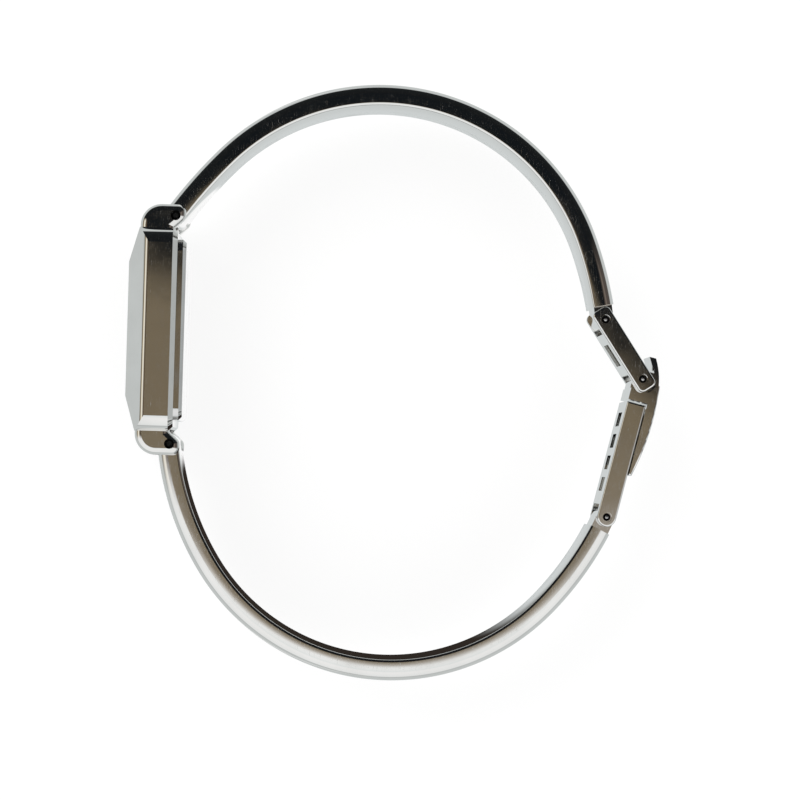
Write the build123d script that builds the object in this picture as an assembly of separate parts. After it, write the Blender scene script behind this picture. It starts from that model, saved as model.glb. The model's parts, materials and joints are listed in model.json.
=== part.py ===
from build123d import *
import math
import os

# Frame: millimetres. Origin at the middle of the case back's outer face.
# +X points from the dial through the case back into the wrist opening, +Y from 12 o'clock to 6 o'clock
# along the case, and +Z along the wrist axis from 3 o'clock, where the crown is, to 9 o'clock.

# Case
CASE_HALF_LENGTH = 10.6
CASE_HALF_WIDTH = 9.0
CASE_CORNER = 1.6
CASE_EDGE = 0.5
CASE_END_WALL = 3.0
CASE_SIDE_WALL = 2.0
FLANK_HEIGHT = 3.3
CASE_RISE = 5.05
BEZEL_END_RUN = 3.62
BEZEL_SIDE_RUN = 2.1
BEZEL_END_DROP = 1.1
BEZEL_RIDGE = 0.65
BACK_THICKNESS = 0.9
BACK_END_STEP = 1.2
BACK_SIDE_STEP = 0.9
BACK_CORNER = 1.2
BACK_EDGE = 0.35
CAVITY_CORNER = 1.0
RIM_DEPTH = 0.55
RIM_WALL = 0.5
GASKET_WALL = 0.15
GASKET_HEIGHT = 0.25

# Crystal, dial and hands
BEZEL_END_LIP = 0.7
BEZEL_SIDE_LIP = 0.8
CRYSTAL_THICKNESS = 1.0
CRYSTAL_CORNER = 0.7
CRYSTAL_EDGE = 0.12
CRYSTAL_GASKET_WALL = 0.15
DIAL_SHELF = 0.55
HAND_SPACE = 0.95
DIAL_THICKNESS = 0.35
DIAL_PLAY = 0.1
MARKER_LENGTH = 1.1
MARKER_WIDTH = 0.3
MARKER_HEIGHT = 0.14
MARKER_INSET = 0.45
MARKER_COUNT = 12
HAND_THICKNESS = 0.12
HAND_WIDTH = 0.5
HAND_GAP = 0.15
HAND_HUB = 0.6
HAND_TAIL = 0.9
HAND_TIP_GAP = 1.1
HAND_DIFFERENCE = 1.6
HOUR_HAND_CLOCK_ANGLE = 304.0
MINUTE_HAND_CLOCK_ANGLE = 48.0

# Movement
MOVEMENT_GAP = 0.05
HOLDER_WALL = 0.55
MOTION_WORK_HEIGHT = 0.4
PLATE_THICKNESS = 0.95
TRAIN_HEIGHT = 0.7
BRIDGE_THICKNESS = 0.2
WHEEL_THICKNESS = 0.12
MESH_GAP = 0.03
ARBOR_RADIUS = 0.25
PIPE_WALL = 0.2
RUNNING_GAP = 0.04
CENTRE_WHEEL_RADIUS = 1.65
THIRD_PINION_RADIUS = 0.165
THIRD_WHEEL_RADIUS = 1.44
ROTOR_PINION_RADIUS = 0.16
ROTOR_RADIUS = 0.5
ROTOR_HEIGHT = 0.4
CANNON_PINION_RADIUS = 0.4125
MINUTE_WHEEL_RADIUS = 1.2375
MINUTE_PINION_RADIUS = 0.33
HOUR_WHEEL_RADIUS = 1.32
SMALL_ARBOR_RADIUS = 0.1
THIRD_WHEEL_ANGLE = 146.0
ROTOR_ANGLE = 162.0
MINUTE_WHEEL_ANGLE = 225.0
BATTERY_THICKNESS = 1.25
BATTERY_END_GAP = 0.15
BATTERY_SIDE_GAP = 0.4
BATTERY_TRAIN_GAP = 0.4
BATTERY_PLAY = 0.06
STRAP_THICKNESS = 0.12
STRAP_WIDTH = 1.3
COIL_RADIUS = 0.62
COIL_END_GAP = 0.95
CORE_SIDE_GAP = 1.25
CORE_TAIL = 1.2
CORE_WIDTH = 0.5
STATOR_THICKNESS = 0.2
STATOR_INNER_END = -2.0
STATOR_LEG = 0.8
STATOR_HALF_WIDTH = 2.9
BOARD_THICKNESS = 0.2
BOARD_START = 1.9
BOARD_END_GAP = 0.35
BOARD_SIDE_GAP = 1.18
CHIP_SIZE = 1.4
CHIP_HEIGHT = 0.3
OSCILLATOR_RADIUS = 0.3
OSCILLATOR_LENGTH = 2.4
BRIDGE_LENGTH = 5.4
BRIDGE_WIDTH = 5.6
BRIDGE_CORNER = 0.8
PILLAR_RADIUS = 0.32
PILLAR_SPREAD = 2.35
SCREW_HEAD_RADIUS = 0.36
SCREW_HEAD_HEIGHT = 0.12
SCREW_SLOT = 0.1

# Crown and stem
CROWN_RADIUS = 1.45
CROWN_HEIGHT = 1.4
CROWN_GAP = 0.2
CROWN_EDGE = 0.2
CROWN_FLUTES = 24
FLUTE_RADIUS = 0.13
CROWN_PULL = 0.8
TUBE_RADIUS = 0.9
TUBE_SETBACK = 0.3
STEM_RADIUS = 0.38
STEM_END = 3.0
GROOVE_PLACE = 4.7
GROOVE_WIDTH = 0.4
GROOVE_RADIUS = 0.22
FORK_HALF_WIDTH = 0.75
FORK_THICKNESS = 0.3
SEAL_WIDTH = 0.35
SEAL_WALL = 0.1

# Lugs and their pins
HINGE_SETBACK = 1.23
HINGE_OVERHANG = 1.27
LUG_RISE = 1.17
LUG_REACH = 1.08
LUG_DROP = 0.3
LUG_SHOULDER = 2.2
LUG_CORNER = 0.8
LUG_THICKNESS = 1.6
LUG_STEP = 1.3
LUG_EDGE = 0.7
LUG_SEAT = 1.65
LUG_HOLE = 0.52
PIN_GAP = 0.03
LUG_PIN_SEAT = 1.1
KNUCKLE_ROOM = 0.2

# Bangle halves, each a chain of arcs from its lug pin: radius, then the turn in degrees
BAND_THICKNESS = 2.2
BAND_PIN_OFFSET = 0.2
BAND_OUTER_EDGE = 1.0
BAND_INNER_EDGE = 0.2
BAND_KNUCKLE_EDGE = 0.35
SIDE_PLAY = 0.1
UPPER_HEADING = 54.95
UPPER_RADII = (50.7, 22.97, 39.8)
UPPER_TURNS = (9.27, 114.9, 11.93)
LOWER_HEADING = -83.42
LOWER_RADII = (29.7, 22.46, 33.5)
LOWER_TURNS = (25.5, 105.2, 19.2)

# Clasp: link from the upper half to the cover, cover, and ladder plate on the lower half
LINK_LENGTH = 7.33
LINK_SPLAY = 31.8
LINK_HALF_THICKNESS = 1.0
FLANGE_THICKNESS = 1.6
KNUCKLE_GAP = 0.1
KNUCKLE_RADIUS = 0.95
SHOULDER_REACH = 1.5
LINK_END_REACH = 1.25
LINK_END_CORNER = 0.6
CLASP_EDGE = 0.18
WEB_THICKNESS = 0.7
LINK_WINDOW_LENGTH = 2.6
LINK_WINDOW_SIDE = 1.5
LADDER_GAP = 2.63
LADDER_WEB = 0.75
SLOT_COUNT = 4
SLOT_LENGTH = 1.5
SLOT_PITCH = 2.35
SLOT_START = 2.55
SLOT_SIDE = 1.9
COVER_HEEL = 2.5
COVER_HEEL_RISE = 0.9
COVER_SHOULDER = 1.2
COVER_SHOULDER_RISE = 2.0
COVER_CREST_SHARE = 0.555
COVER_CREST_RISE = 2.08
COVER_LIP = 0.1
COVER_END_RISE = 1.4
COVER_LIFT = 0.1
COVER_HINGE_ROOM = 1.5
COVER_FLANK_START = 0.3
HEEL_WALL = 0.7
HEEL_BULGE = 0.25
COVER_STOP_GAP = 0.25
CATCH_SLOT = 1
CATCH_THICKNESS = 0.5
CATCH_SIDE_PLAY = 0.3
CATCH_DEPTH = 0.3
CATCH_PLAY = 0.1
CLASP_PIN_RADIUS = 0.4
PIN_COUNTERBORE = 0.52
PIN_COUNTERBORE_DEPTH = 0.35
PIN_END_DEPTH = 0.12

# Sizes that follow the case
BACK_HALF_LENGTH = CASE_HALF_LENGTH - BACK_END_STEP
BACK_HALF_WIDTH = CASE_HALF_WIDTH - BACK_SIDE_STEP
BEZEL_HALF_LENGTH = CASE_HALF_LENGTH - BEZEL_END_RUN
BEZEL_HALF_WIDTH = CASE_HALF_WIDTH - BEZEL_SIDE_RUN
CRYSTAL_HALF_LENGTH = BEZEL_HALF_LENGTH - BEZEL_END_LIP
CRYSTAL_HALF_WIDTH = BEZEL_HALF_WIDTH - BEZEL_SIDE_LIP
CAVITY_HALF_LENGTH = CASE_HALF_LENGTH - CASE_END_WALL
CAVITY_HALF_WIDTH = CASE_HALF_WIDTH - CASE_SIDE_WALL
TUBE_LENGTH = CASE_SIDE_WALL - TUBE_SETBACK
LUG_OUTER = CASE_HALF_WIDTH - LUG_STEP
LUG_INNER = LUG_OUTER - LUG_THICKNESS
HINGE_REACH = CASE_HALF_LENGTH + HINGE_OVERHANG
BAND_HALF_WIDTH = LUG_INNER - SIDE_PLAY
HALF_BAND = BAND_THICKNESS / 2
FLANGE_INNER = BAND_HALF_WIDTH - FLANGE_THICKNESS
TONGUE_HALF_WIDTH = FLANGE_INNER - KNUCKLE_GAP
LINK_WINDOW_HALF_WIDTH = FLANGE_INNER - LINK_WINDOW_SIDE
SLOT_HALF_WIDTH = FLANGE_INNER - SLOT_SIDE
CATCH_HALF_WIDTH = SLOT_HALF_WIDTH - CATCH_SIDE_PLAY
MINUTE_HAND_LENGTH = CRYSTAL_HALF_WIDTH + CRYSTAL_GASKET_WALL - DIAL_SHELF - HAND_TIP_GAP
HOUR_HAND_LENGTH = MINUTE_HAND_LENGTH - HAND_DIFFERENCE

# Sizes that follow the movement. The cell fills the corner that the centre wheel leaves.
MOVEMENT_HALF_LENGTH = CAVITY_HALF_LENGTH - DIAL_PLAY - HOLDER_WALL
MOVEMENT_HALF_WIDTH = CAVITY_HALF_WIDTH - DIAL_PLAY - HOLDER_WALL
CELL_ALONG = MOVEMENT_HALF_LENGTH - BATTERY_END_GAP
CELL_ACROSS = MOVEMENT_HALF_WIDTH - BATTERY_SIDE_GAP
CELL_CLEAR = CENTRE_WHEEL_RADIUS + BATTERY_TRAIN_GAP
CELL_SUM = CELL_ALONG + CELL_ACROSS + CELL_CLEAR
BATTERY_RADIUS = CELL_SUM - math.sqrt(CELL_SUM ** 2 - CELL_ALONG ** 2 - CELL_ACROSS ** 2 + CELL_CLEAR ** 2)
BATTERY_ALONG = CELL_ALONG - BATTERY_RADIUS
BATTERY_ACROSS = CELL_ACROSS - BATTERY_RADIUS
Z_BOARD = BATTERY_ACROSS - BATTERY_RADIUS - 2 * BATTERY_PLAY
BOARD_LENGTH = MOVEMENT_HALF_LENGTH - BOARD_START - BOARD_END_GAP
BOARD_WIDTH = MOVEMENT_HALF_WIDTH + Z_BOARD - BOARD_SIDE_GAP
COIL_ALONG = COIL_END_GAP - MOVEMENT_HALF_LENGTH
CORE_HALF_LENGTH = MOVEMENT_HALF_WIDTH - CORE_SIDE_GAP
COIL_HALF_LENGTH = CORE_HALF_LENGTH - CORE_TAIL

# Levels along X, from the case back's outer face towards the dial
X_CASE_BACK = -BACK_THICKNESS
X_BEVEL = X_CASE_BACK - FLANK_HEIGHT
X_BEZEL = X_CASE_BACK - CASE_RISE
X_BEZEL_END = X_BEZEL + BEZEL_END_DROP
X_CRYSTAL_SEAT = X_BEZEL + CRYSTAL_THICKNESS
X_DIAL = X_CRYSTAL_SEAT + HAND_SPACE
X_DIAL_BACK = X_DIAL + DIAL_THICKNESS
X_PLATE = X_DIAL_BACK + MOTION_WORK_HEIGHT
X_TRAIN = X_PLATE + PLATE_THICKNESS
X_BRIDGE = X_TRAIN + TRAIN_HEIGHT
X_BRIDGE_TOP = X_BRIDGE + BRIDGE_THICKNESS
X_STEM = (X_CASE_BACK + X_BEVEL) / 2
Z_CROWN = -CASE_HALF_WIDTH - CROWN_GAP
OVERRUN = CASE_HALF_WIDTH
UPPER_PIN = (-HINGE_SETBACK, HINGE_REACH)
LOWER_PIN = (-HINGE_SETBACK, -HINGE_REACH)


def tablet(half_length, half_width, x_low, x_high, corner):
    """A rounded rectangle in the case's plane, between two levels along X."""
    outline = RectangleRounded(2 * half_length, 2 * half_width, corner)
    return extrude(Plane.YZ.offset(x_low) * outline, x_high - x_low, dir=(1, 0, 0))


def frame_ring(half_length, half_width, wall, x_low, x_high, corner):
    """A rounded rectangular ring whose outside is given."""
    inner_corner = max(corner - wall, corner / 3)
    inner = tablet(half_length - wall, half_width - wall, x_low - OVERRUN, x_high + OVERRUN, inner_corner)
    return tablet(half_length, half_width, x_low, x_high, corner) - inner


def brick(x_low, x_high, y_low, y_high, z_low, z_high):
    """A box between two levels along each axis."""
    middle = Pos((x_low + x_high) / 2, (y_low + y_high) / 2, (z_low + z_high) / 2)
    return middle * Box(x_high - x_low, y_high - y_low, z_high - z_low)


def disc(y, z, radius, x_low, x_high):
    """A cylinder along X."""
    return Pos((x_low + x_high) / 2, y, z) * Rot(0, 90, 0) * Cylinder(radius, x_high - x_low)


def shaft(point, radius, z_low, z_high):
    """A cylinder along Z."""
    return Pos(point[0], point[1], (z_low + z_high) / 2) * Cylinder(radius, z_high - z_low)


def slab(face, z_low, z_high):
    """An outline in XY raised between two levels along Z."""
    return Pos(0, 0, z_low) * extrude(face, z_high - z_low, dir=(0, 0, 1))


def both_sides(face, z_low, z_high):
    """The same slab at +Z and at -Z."""
    return slab(face, z_low, z_high) + slab(face, -z_high, -z_low)


def polar(radius, degrees):
    """A place in a plane, from its distance and direction."""
    return (radius * math.cos(math.radians(degrees)), radius * math.sin(math.radians(degrees)))


def walk(start, heading, radii, turns):
    """Stations (x, y, heading) at each end and middle of a chain of tangent arcs."""
    x, y, angle = start[0], start[1], math.radians(heading)
    stations = [(x, y, angle)]
    for radius, turn in zip(radii, turns):
        for _ in range(2):
            step = math.radians(turn) / 2
            x += radius * (math.sin(angle + step) - math.sin(angle))
            y -= radius * (math.cos(angle + step) - math.cos(angle))
            angle += step
            stations.append((x, y, angle))
    return stations


def beside(station, distance):
    """The point at a distance to the left of a station."""
    return (station[0] - distance * math.sin(station[2]), station[1] + distance * math.cos(station[2]))


def strip(stations, half):
    """The outline that runs along a chain of arcs, half its thickness to each side."""
    edges = []
    for side in (half, -half):
        for k in range(0, len(stations) - 1, 2):
            edges.append(ThreePointArc(*[beside(s, side) for s in stations[k:k + 3]]))
    for end in (stations[0], stations[-1]):
        edges.append(Line(beside(end, half), beside(end, -half)))
    return make_face(edges)


def soften(solid, amount, z_level, lowest=-math.inf):
    """Round the outline edges of the flat faces at +Z and -Z, where their middles are above a level along Y."""
    edges = ShapeList()
    for face in solid.faces():
        flat = face.geom_type == GeomType.PLANE and abs(abs(face.normal_at().Z) - 1) < 0.001
        if flat and abs(abs(face.center().Z) - z_level) < amount / 10:
            edges.extend(face.outer_wire().edges())
    return fillet([e for e in edges if e.position_at(0.5).Y > lowest], amount)


def save(name, shape):
    """Write one node."""
    export_step(shape, f"parts/{name}.step")


UPPER_START = beside((*UPPER_PIN, math.radians(UPPER_HEADING)), BAND_PIN_OFFSET)
LOWER_START = beside((*LOWER_PIN, math.radians(LOWER_HEADING)), -BAND_PIN_OFFSET)
UPPER_STATIONS = walk(UPPER_START, UPPER_HEADING, [-r for r in UPPER_RADII], [-t for t in UPPER_TURNS])
LOWER_STATIONS = walk(LOWER_START, LOWER_HEADING, LOWER_RADII, LOWER_TURNS)
PIN_A = UPPER_STATIONS[-1][:2]
PIN_C = LOWER_STATIONS[-1][:2]
LINK_ANGLE = math.degrees(math.atan2(PIN_C[1] - PIN_A[1], PIN_C[0] - PIN_A[0])) + LINK_SPLAY
LINK_RUN = polar(LINK_LENGTH, LINK_ANGLE)
PIN_B = (PIN_A[0] + LINK_RUN[0], PIN_A[1] + LINK_RUN[1])
COVER_ANGLE = math.degrees(math.atan2(PIN_C[1] - PIN_B[1], PIN_C[0] - PIN_B[0]))
COVER_SPAN = math.hypot(PIN_C[0] - PIN_B[0], PIN_C[1] - PIN_B[1])
LADDER_LENGTH = COVER_SPAN - LADDER_GAP
SLOT_PLACES = [SLOT_START + k * SLOT_PITCH for k in range(SLOT_COUNT)]
CATCH_END = COVER_SPAN - SLOT_PLACES[CATCH_SLOT]
LINK_PLACE = Pos(*PIN_A) * Rot(0, 0, LINK_ANGLE)
COVER_PLACE = Pos(*PIN_B) * Rot(0, 0, COVER_ANGLE)
LADDER_PLACE = Pos(*PIN_C) * Rot(0, 0, COVER_ANGLE + 180)


def lug_outline(side):
    """One hooded lug, from the case's end over to its eye. side is +1 at 6 o'clock, -1 at 12 o'clock."""
    low_x, high_x = -HINGE_SETBACK, LUG_REACH - HINGE_SETBACK
    seat_y = side * (CASE_HALF_LENGTH - LUG_SEAT)
    top_y = side * (HINGE_REACH + LUG_RISE)
    heel_y = side * (HINGE_REACH - LUG_DROP)
    face = make_face(Polyline(
        (X_BEZEL_END, seat_y), (X_BEZEL_END, top_y), (high_x, top_y), (high_x, heel_y),
        (low_x, side * CASE_HALF_LENGTH), (low_x, seat_y), close=True))
    outer = [v for v in face.vertices() if abs(v.Y) > HINGE_REACH - LUG_CORNER]
    face = fillet([v for v in outer if v.X > X_BEZEL_END / 2], LUG_CORNER)
    return fillet([v for v in face.vertices() if abs(v.Y) > HINGE_REACH and v.X < X_BEZEL_END / 2], LUG_SHOULDER)


def case_body():
    """The case: a bevelled box with four lugs, open at the back and under the crystal."""
    side_view = make_face(Polyline(
        (X_CASE_BACK, -CASE_HALF_LENGTH), (X_CASE_BACK, CASE_HALF_LENGTH), (X_BEZEL_END, CASE_HALF_LENGTH),
        (X_BEZEL, BEZEL_HALF_LENGTH), (X_BEZEL, -BEZEL_HALF_LENGTH), (X_BEZEL_END, -CASE_HALF_LENGTH), close=True))
    end_view = make_face(Polyline(
        (X_CASE_BACK, 0, -CASE_HALF_WIDTH), (X_CASE_BACK, 0, CASE_HALF_WIDTH), (X_BEVEL, 0, CASE_HALF_WIDTH),
        (X_BEZEL, 0, BEZEL_HALF_WIDTH), (X_BEZEL, 0, -BEZEL_HALF_WIDTH), (X_BEVEL, 0, -CASE_HALF_WIDTH), close=True))
    end_view = fillet(end_view.vertices().group_by(Axis.X)[1], BEZEL_RIDGE)
    body = tablet(CASE_HALF_LENGTH, CASE_HALF_WIDTH, X_BEZEL, X_CASE_BACK, CASE_CORNER)
    body &= slab(side_view, -CASE_HALF_WIDTH, CASE_HALF_WIDTH)
    body &= extrude(end_view, CASE_HALF_LENGTH, both=True)
    body = chamfer(body.edges().group_by(Axis.X)[-1], CASE_EDGE)
    for side in (1, -1):
        for low, high in ((LUG_INNER, LUG_OUTER), (-LUG_OUTER, -LUG_INNER)):
            lug = slab(lug_outline(side), low, high)
            rim = lug.faces().group_by(Axis.Z)
            lug = fillet([e for f in (rim[0] + rim[-1]) for e in f.edges()], LUG_EDGE)
            body += lug
        pin = (-HINGE_SETBACK, side * HINGE_REACH)
        body -= shaft(pin, HALF_BAND + BAND_PIN_OFFSET + KNUCKLE_ROOM, -LUG_INNER, LUG_INNER)
        body -= shaft(pin, LUG_HOLE, -LUG_OUTER - OVERRUN, LUG_OUTER + OVERRUN)
    gasket_length = CRYSTAL_HALF_LENGTH + CRYSTAL_GASKET_WALL
    gasket_width = CRYSTAL_HALF_WIDTH + CRYSTAL_GASKET_WALL
    body -= tablet(gasket_length, gasket_width, X_BEZEL - OVERRUN, X_CRYSTAL_SEAT, CRYSTAL_CORNER + CRYSTAL_GASKET_WALL)
    body -= tablet(gasket_length - DIAL_SHELF, gasket_width - DIAL_SHELF, X_BEZEL, X_DIAL + OVERRUN, CRYSTAL_CORNER)
    body -= tablet(CAVITY_HALF_LENGTH, CAVITY_HALF_WIDTH, X_DIAL, X_CASE_BACK + OVERRUN, CAVITY_CORNER)
    body -= shaft((X_STEM, 0), TUBE_RADIUS, -CASE_HALF_WIDTH - OVERRUN, -CAVITY_HALF_WIDTH + TUBE_RADIUS)
    return body


def case_back():
    """The back cover with the rim that snaps into the case."""
    plate = tablet(BACK_HALF_LENGTH, BACK_HALF_WIDTH, X_CASE_BACK, 0, BACK_CORNER)
    plate = chamfer(plate.edges().group_by(Axis.X)[-1], BACK_EDGE)
    rim_length = CAVITY_HALF_LENGTH - GASKET_WALL
    rim_width = CAVITY_HALF_WIDTH - GASKET_WALL
    return plate + frame_ring(rim_length, rim_width, RIM_WALL, X_CASE_BACK - RIM_DEPTH, X_CASE_BACK, CAVITY_CORNER)


def back_gasket():
    """The seal between the back's rim and the case."""
    top = X_CASE_BACK - GASKET_HEIGHT / 2
    return frame_ring(CAVITY_HALF_LENGTH, CAVITY_HALF_WIDTH, GASKET_WALL, top - GASKET_HEIGHT, top, CAVITY_CORNER)


def crystal():
    """The flat glass, its top edge broken."""
    glass = tablet(CRYSTAL_HALF_LENGTH, CRYSTAL_HALF_WIDTH, X_BEZEL, X_CRYSTAL_SEAT, CRYSTAL_CORNER)
    return chamfer(glass.edges().group_by(Axis.X)[0], CRYSTAL_EDGE)


def crystal_gasket():
    """The seal that holds the glass in the bezel."""
    length = CRYSTAL_HALF_LENGTH + CRYSTAL_GASKET_WALL
    width = CRYSTAL_HALF_WIDTH + CRYSTAL_GASKET_WALL
    ring = tablet(length, width, X_BEZEL + CRYSTAL_EDGE, X_CRYSTAL_SEAT, CRYSTAL_CORNER + CRYSTAL_GASKET_WALL)
    hole = tablet(CRYSTAL_HALF_LENGTH, CRYSTAL_HALF_WIDTH, X_BEZEL - OVERRUN, X_DIAL + OVERRUN, CRYSTAL_CORNER)
    return ring - hole


def dial():
    """The dial plate, seated on the shelf inside the case."""
    length = CAVITY_HALF_LENGTH - DIAL_PLAY
    width = CAVITY_HALF_WIDTH - DIAL_PLAY
    plate = tablet(length, width, X_DIAL, X_DIAL_BACK, CAVITY_CORNER)
    return plate - disc(0, 0, ARBOR_RADIUS + PIPE_WALL + 2 * RUNNING_GAP, X_DIAL - OVERRUN, X_DIAL_BACK + OVERRUN)


def clock_turn(degrees):
    """Turn a piece that points to 12 o'clock, along -Y, to another clock angle. 3 o'clock is along -Z."""
    return Rot(degrees, 0, 0)


def hour_markers():
    """The applied batons, at the edge of the rectangular opening."""
    half_length = CRYSTAL_HALF_LENGTH + CRYSTAL_GASKET_WALL - DIAL_SHELF - MARKER_INSET
    half_width = CRYSTAL_HALF_WIDTH + CRYSTAL_GASKET_WALL - DIAL_SHELF - MARKER_INSET
    markers = []
    for k in range(MARKER_COUNT):
        angle = k * math.tau / MARKER_COUNT
        reach = min(half_length / max(abs(math.cos(angle)), 1e-9), half_width / max(abs(math.sin(angle)), 1e-9))
        baton = brick(X_DIAL - MARKER_HEIGHT, X_DIAL, -reach, -reach + MARKER_LENGTH, -MARKER_WIDTH / 2, MARKER_WIDTH / 2)
        markers.append(clock_turn(math.degrees(angle)) * baton)
    return Compound(markers)


def hand(length, width, x_low, bore, degrees):
    """A plain baton hand with its hub and tail."""
    blade = brick(x_low, x_low + HAND_THICKNESS, -length, HAND_TAIL, -width / 2, width / 2)
    blade = chamfer(blade.edges().filter_by(Axis.X), width / 4)
    blade += disc(0, 0, HAND_HUB, x_low, x_low + HAND_THICKNESS)
    return clock_turn(degrees) * (blade - disc(0, 0, bore, x_low - OVERRUN, x_low + OVERRUN))


X_HOUR_HAND = X_DIAL - MARKER_HEIGHT - HAND_GAP - HAND_THICKNESS
X_MINUTE_HAND = X_HOUR_HAND - HAND_GAP - HAND_THICKNESS
X_WHEEL_HOUR = X_DIAL_BACK + MOVEMENT_GAP
X_WHEEL_MINUTE = X_WHEEL_HOUR + WHEEL_THICKNESS + MOVEMENT_GAP
X_WHEEL_CENTRE = X_TRAIN + MOVEMENT_GAP
X_WHEEL_THIRD = X_WHEEL_CENTRE + WHEEL_THICKNESS + 2 * MOVEMENT_GAP
X_ARBOR_END = X_BRIDGE - MOVEMENT_GAP
PIPE_RADIUS = ARBOR_RADIUS + RUNNING_GAP + PIPE_WALL
THIRD_PLACE = polar(CENTRE_WHEEL_RADIUS + THIRD_PINION_RADIUS, THIRD_WHEEL_ANGLE)
ROTOR_STEP = polar(THIRD_WHEEL_RADIUS + ROTOR_PINION_RADIUS, ROTOR_ANGLE)
ROTOR_PLACE = (THIRD_PLACE[0] + ROTOR_STEP[0], THIRD_PLACE[1] + ROTOR_STEP[1])
MINUTE_WHEEL_PLACE = polar(CANNON_PINION_RADIUS + MINUTE_WHEEL_RADIUS, MINUTE_WHEEL_ANGLE)


def centre_arbor():
    """The arbor that carries the minute hand, with its wheel and cannon pinion. Gears are plain pitch discs."""
    arbor = disc(0, 0, ARBOR_RADIUS, X_MINUTE_HAND, X_ARBOR_END)
    wheel = disc(0, 0, CENTRE_WHEEL_RADIUS - MESH_GAP, X_WHEEL_CENTRE, X_WHEEL_CENTRE + WHEEL_THICKNESS)
    pinion = disc(0, 0, CANNON_PINION_RADIUS - MESH_GAP, X_WHEEL_MINUTE, X_WHEEL_MINUTE + WHEEL_THICKNESS)
    return arbor + wheel + pinion


def hour_wheel():
    """The wheel and pipe that carry the hour hand."""
    wheel = disc(0, 0, HOUR_WHEEL_RADIUS - MESH_GAP, X_WHEEL_HOUR, X_WHEEL_HOUR + WHEEL_THICKNESS)
    pipe = disc(0, 0, PIPE_RADIUS, X_HOUR_HAND, X_WHEEL_HOUR + WHEEL_THICKNESS)
    return wheel + pipe - disc(0, 0, ARBOR_RADIUS + RUNNING_GAP, X_HOUR_HAND - OVERRUN, X_WHEEL_MINUTE)


def pinion_wheel(place, wheel_radius, pinion_radius, x_wheel, x_pinion, x_low, x_high):
    """A small arbor with a wheel and a pinion on it."""
    arbor = disc(*place, SMALL_ARBOR_RADIUS, x_low, x_high)
    wheel = disc(*place, wheel_radius - MESH_GAP, x_wheel, x_wheel + WHEEL_THICKNESS)
    return arbor + wheel + disc(*place, pinion_radius - MESH_GAP, x_pinion, x_pinion + WHEEL_THICKNESS)


def minute_wheel():
    """The motion work's wheel between the cannon pinion and the hour wheel."""
    low = X_WHEEL_HOUR
    high = X_WHEEL_MINUTE + WHEEL_THICKNESS
    return pinion_wheel(MINUTE_WHEEL_PLACE, MINUTE_WHEEL_RADIUS, MINUTE_PINION_RADIUS,
                        X_WHEEL_MINUTE, X_WHEEL_HOUR, low, high)


def third_wheel():
    """The wheel between the rotor and the centre wheel."""
    return pinion_wheel(THIRD_PLACE, THIRD_WHEEL_RADIUS, THIRD_PINION_RADIUS,
                        X_WHEEL_THIRD, X_WHEEL_CENTRE, X_TRAIN + RUNNING_GAP, X_ARBOR_END)


def rotor():
    """The motor's magnet with its pinion."""
    magnet = disc(*ROTOR_PLACE, ROTOR_RADIUS, X_TRAIN - ROTOR_HEIGHT, X_WHEEL_CENTRE + WHEEL_THICKNESS)
    return magnet + disc(*ROTOR_PLACE, ROTOR_PINION_RADIUS - MESH_GAP, X_TRAIN, X_ARBOR_END)


X_HOLDER_TOP = X_CASE_BACK - RIM_DEPTH - MOVEMENT_GAP
X_BATTERY = X_BRIDGE - MOVEMENT_GAP - BATTERY_THICKNESS
X_STATOR = X_TRAIN
X_COIL = X_STATOR + STATOR_THICKNESS / 2


def stem_channel():
    """The space that the stem and its fork need in the movement."""
    half = FORK_HALF_WIDTH + MOVEMENT_GAP
    return brick(X_PLATE - OVERRUN, X_TRAIN + OVERRUN, -half, half, -CAVITY_HALF_WIDTH, -STEM_END + MOVEMENT_GAP)


def movement_holder():
    """The plastic ring that centres the movement in the case."""
    length = CAVITY_HALF_LENGTH - DIAL_PLAY
    width = CAVITY_HALF_WIDTH - DIAL_PLAY
    return frame_ring(length, width, HOLDER_WALL, X_DIAL_BACK, X_HOLDER_TOP, CAVITY_CORNER) - stem_channel()


def main_plate():
    """The movement's plate, with its recesses."""
    corner = CAVITY_CORNER - HOLDER_WALL / 2
    plate = tablet(MOVEMENT_HALF_LENGTH, MOVEMENT_HALF_WIDTH, X_PLATE, X_TRAIN, corner)
    plate -= stem_channel()
    plate -= disc(0, 0, ARBOR_RADIUS + RUNNING_GAP, X_PLATE - OVERRUN, X_TRAIN + OVERRUN)
    plate -= disc(BATTERY_ALONG, BATTERY_ACROSS, BATTERY_RADIUS + BATTERY_PLAY, X_BATTERY, X_TRAIN + OVERRUN)
    plate -= disc(*ROTOR_PLACE, ROTOR_RADIUS + 2 * MOVEMENT_GAP, X_TRAIN - ROTOR_HEIGHT - MOVEMENT_GAP, X_TRAIN + OVERRUN)
    coil_room = COIL_RADIUS + MOVEMENT_GAP
    plate -= brick(X_COIL - coil_room, X_TRAIN + OVERRUN, COIL_ALONG - coil_room, COIL_ALONG + coil_room,
                   -COIL_HALF_LENGTH - MOVEMENT_GAP, COIL_HALF_LENGTH + MOVEMENT_GAP)
    return plate


def battery():
    """The button cell."""
    cell = disc(BATTERY_ALONG, BATTERY_ACROSS, BATTERY_RADIUS, X_BATTERY, X_BATTERY + BATTERY_THICKNESS)
    return chamfer(cell.edges().group_by(Axis.X)[-1], MOVEMENT_GAP)


def battery_strap():
    """The spring strip across the cell."""
    low = X_BATTERY + BATTERY_THICKNESS
    return brick(low, low + STRAP_THICKNESS, BATTERY_ALONG - BATTERY_RADIUS, MOVEMENT_HALF_LENGTH,
                 BATTERY_ACROSS - STRAP_WIDTH / 2, BATTERY_ACROSS + STRAP_WIDTH / 2)


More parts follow.
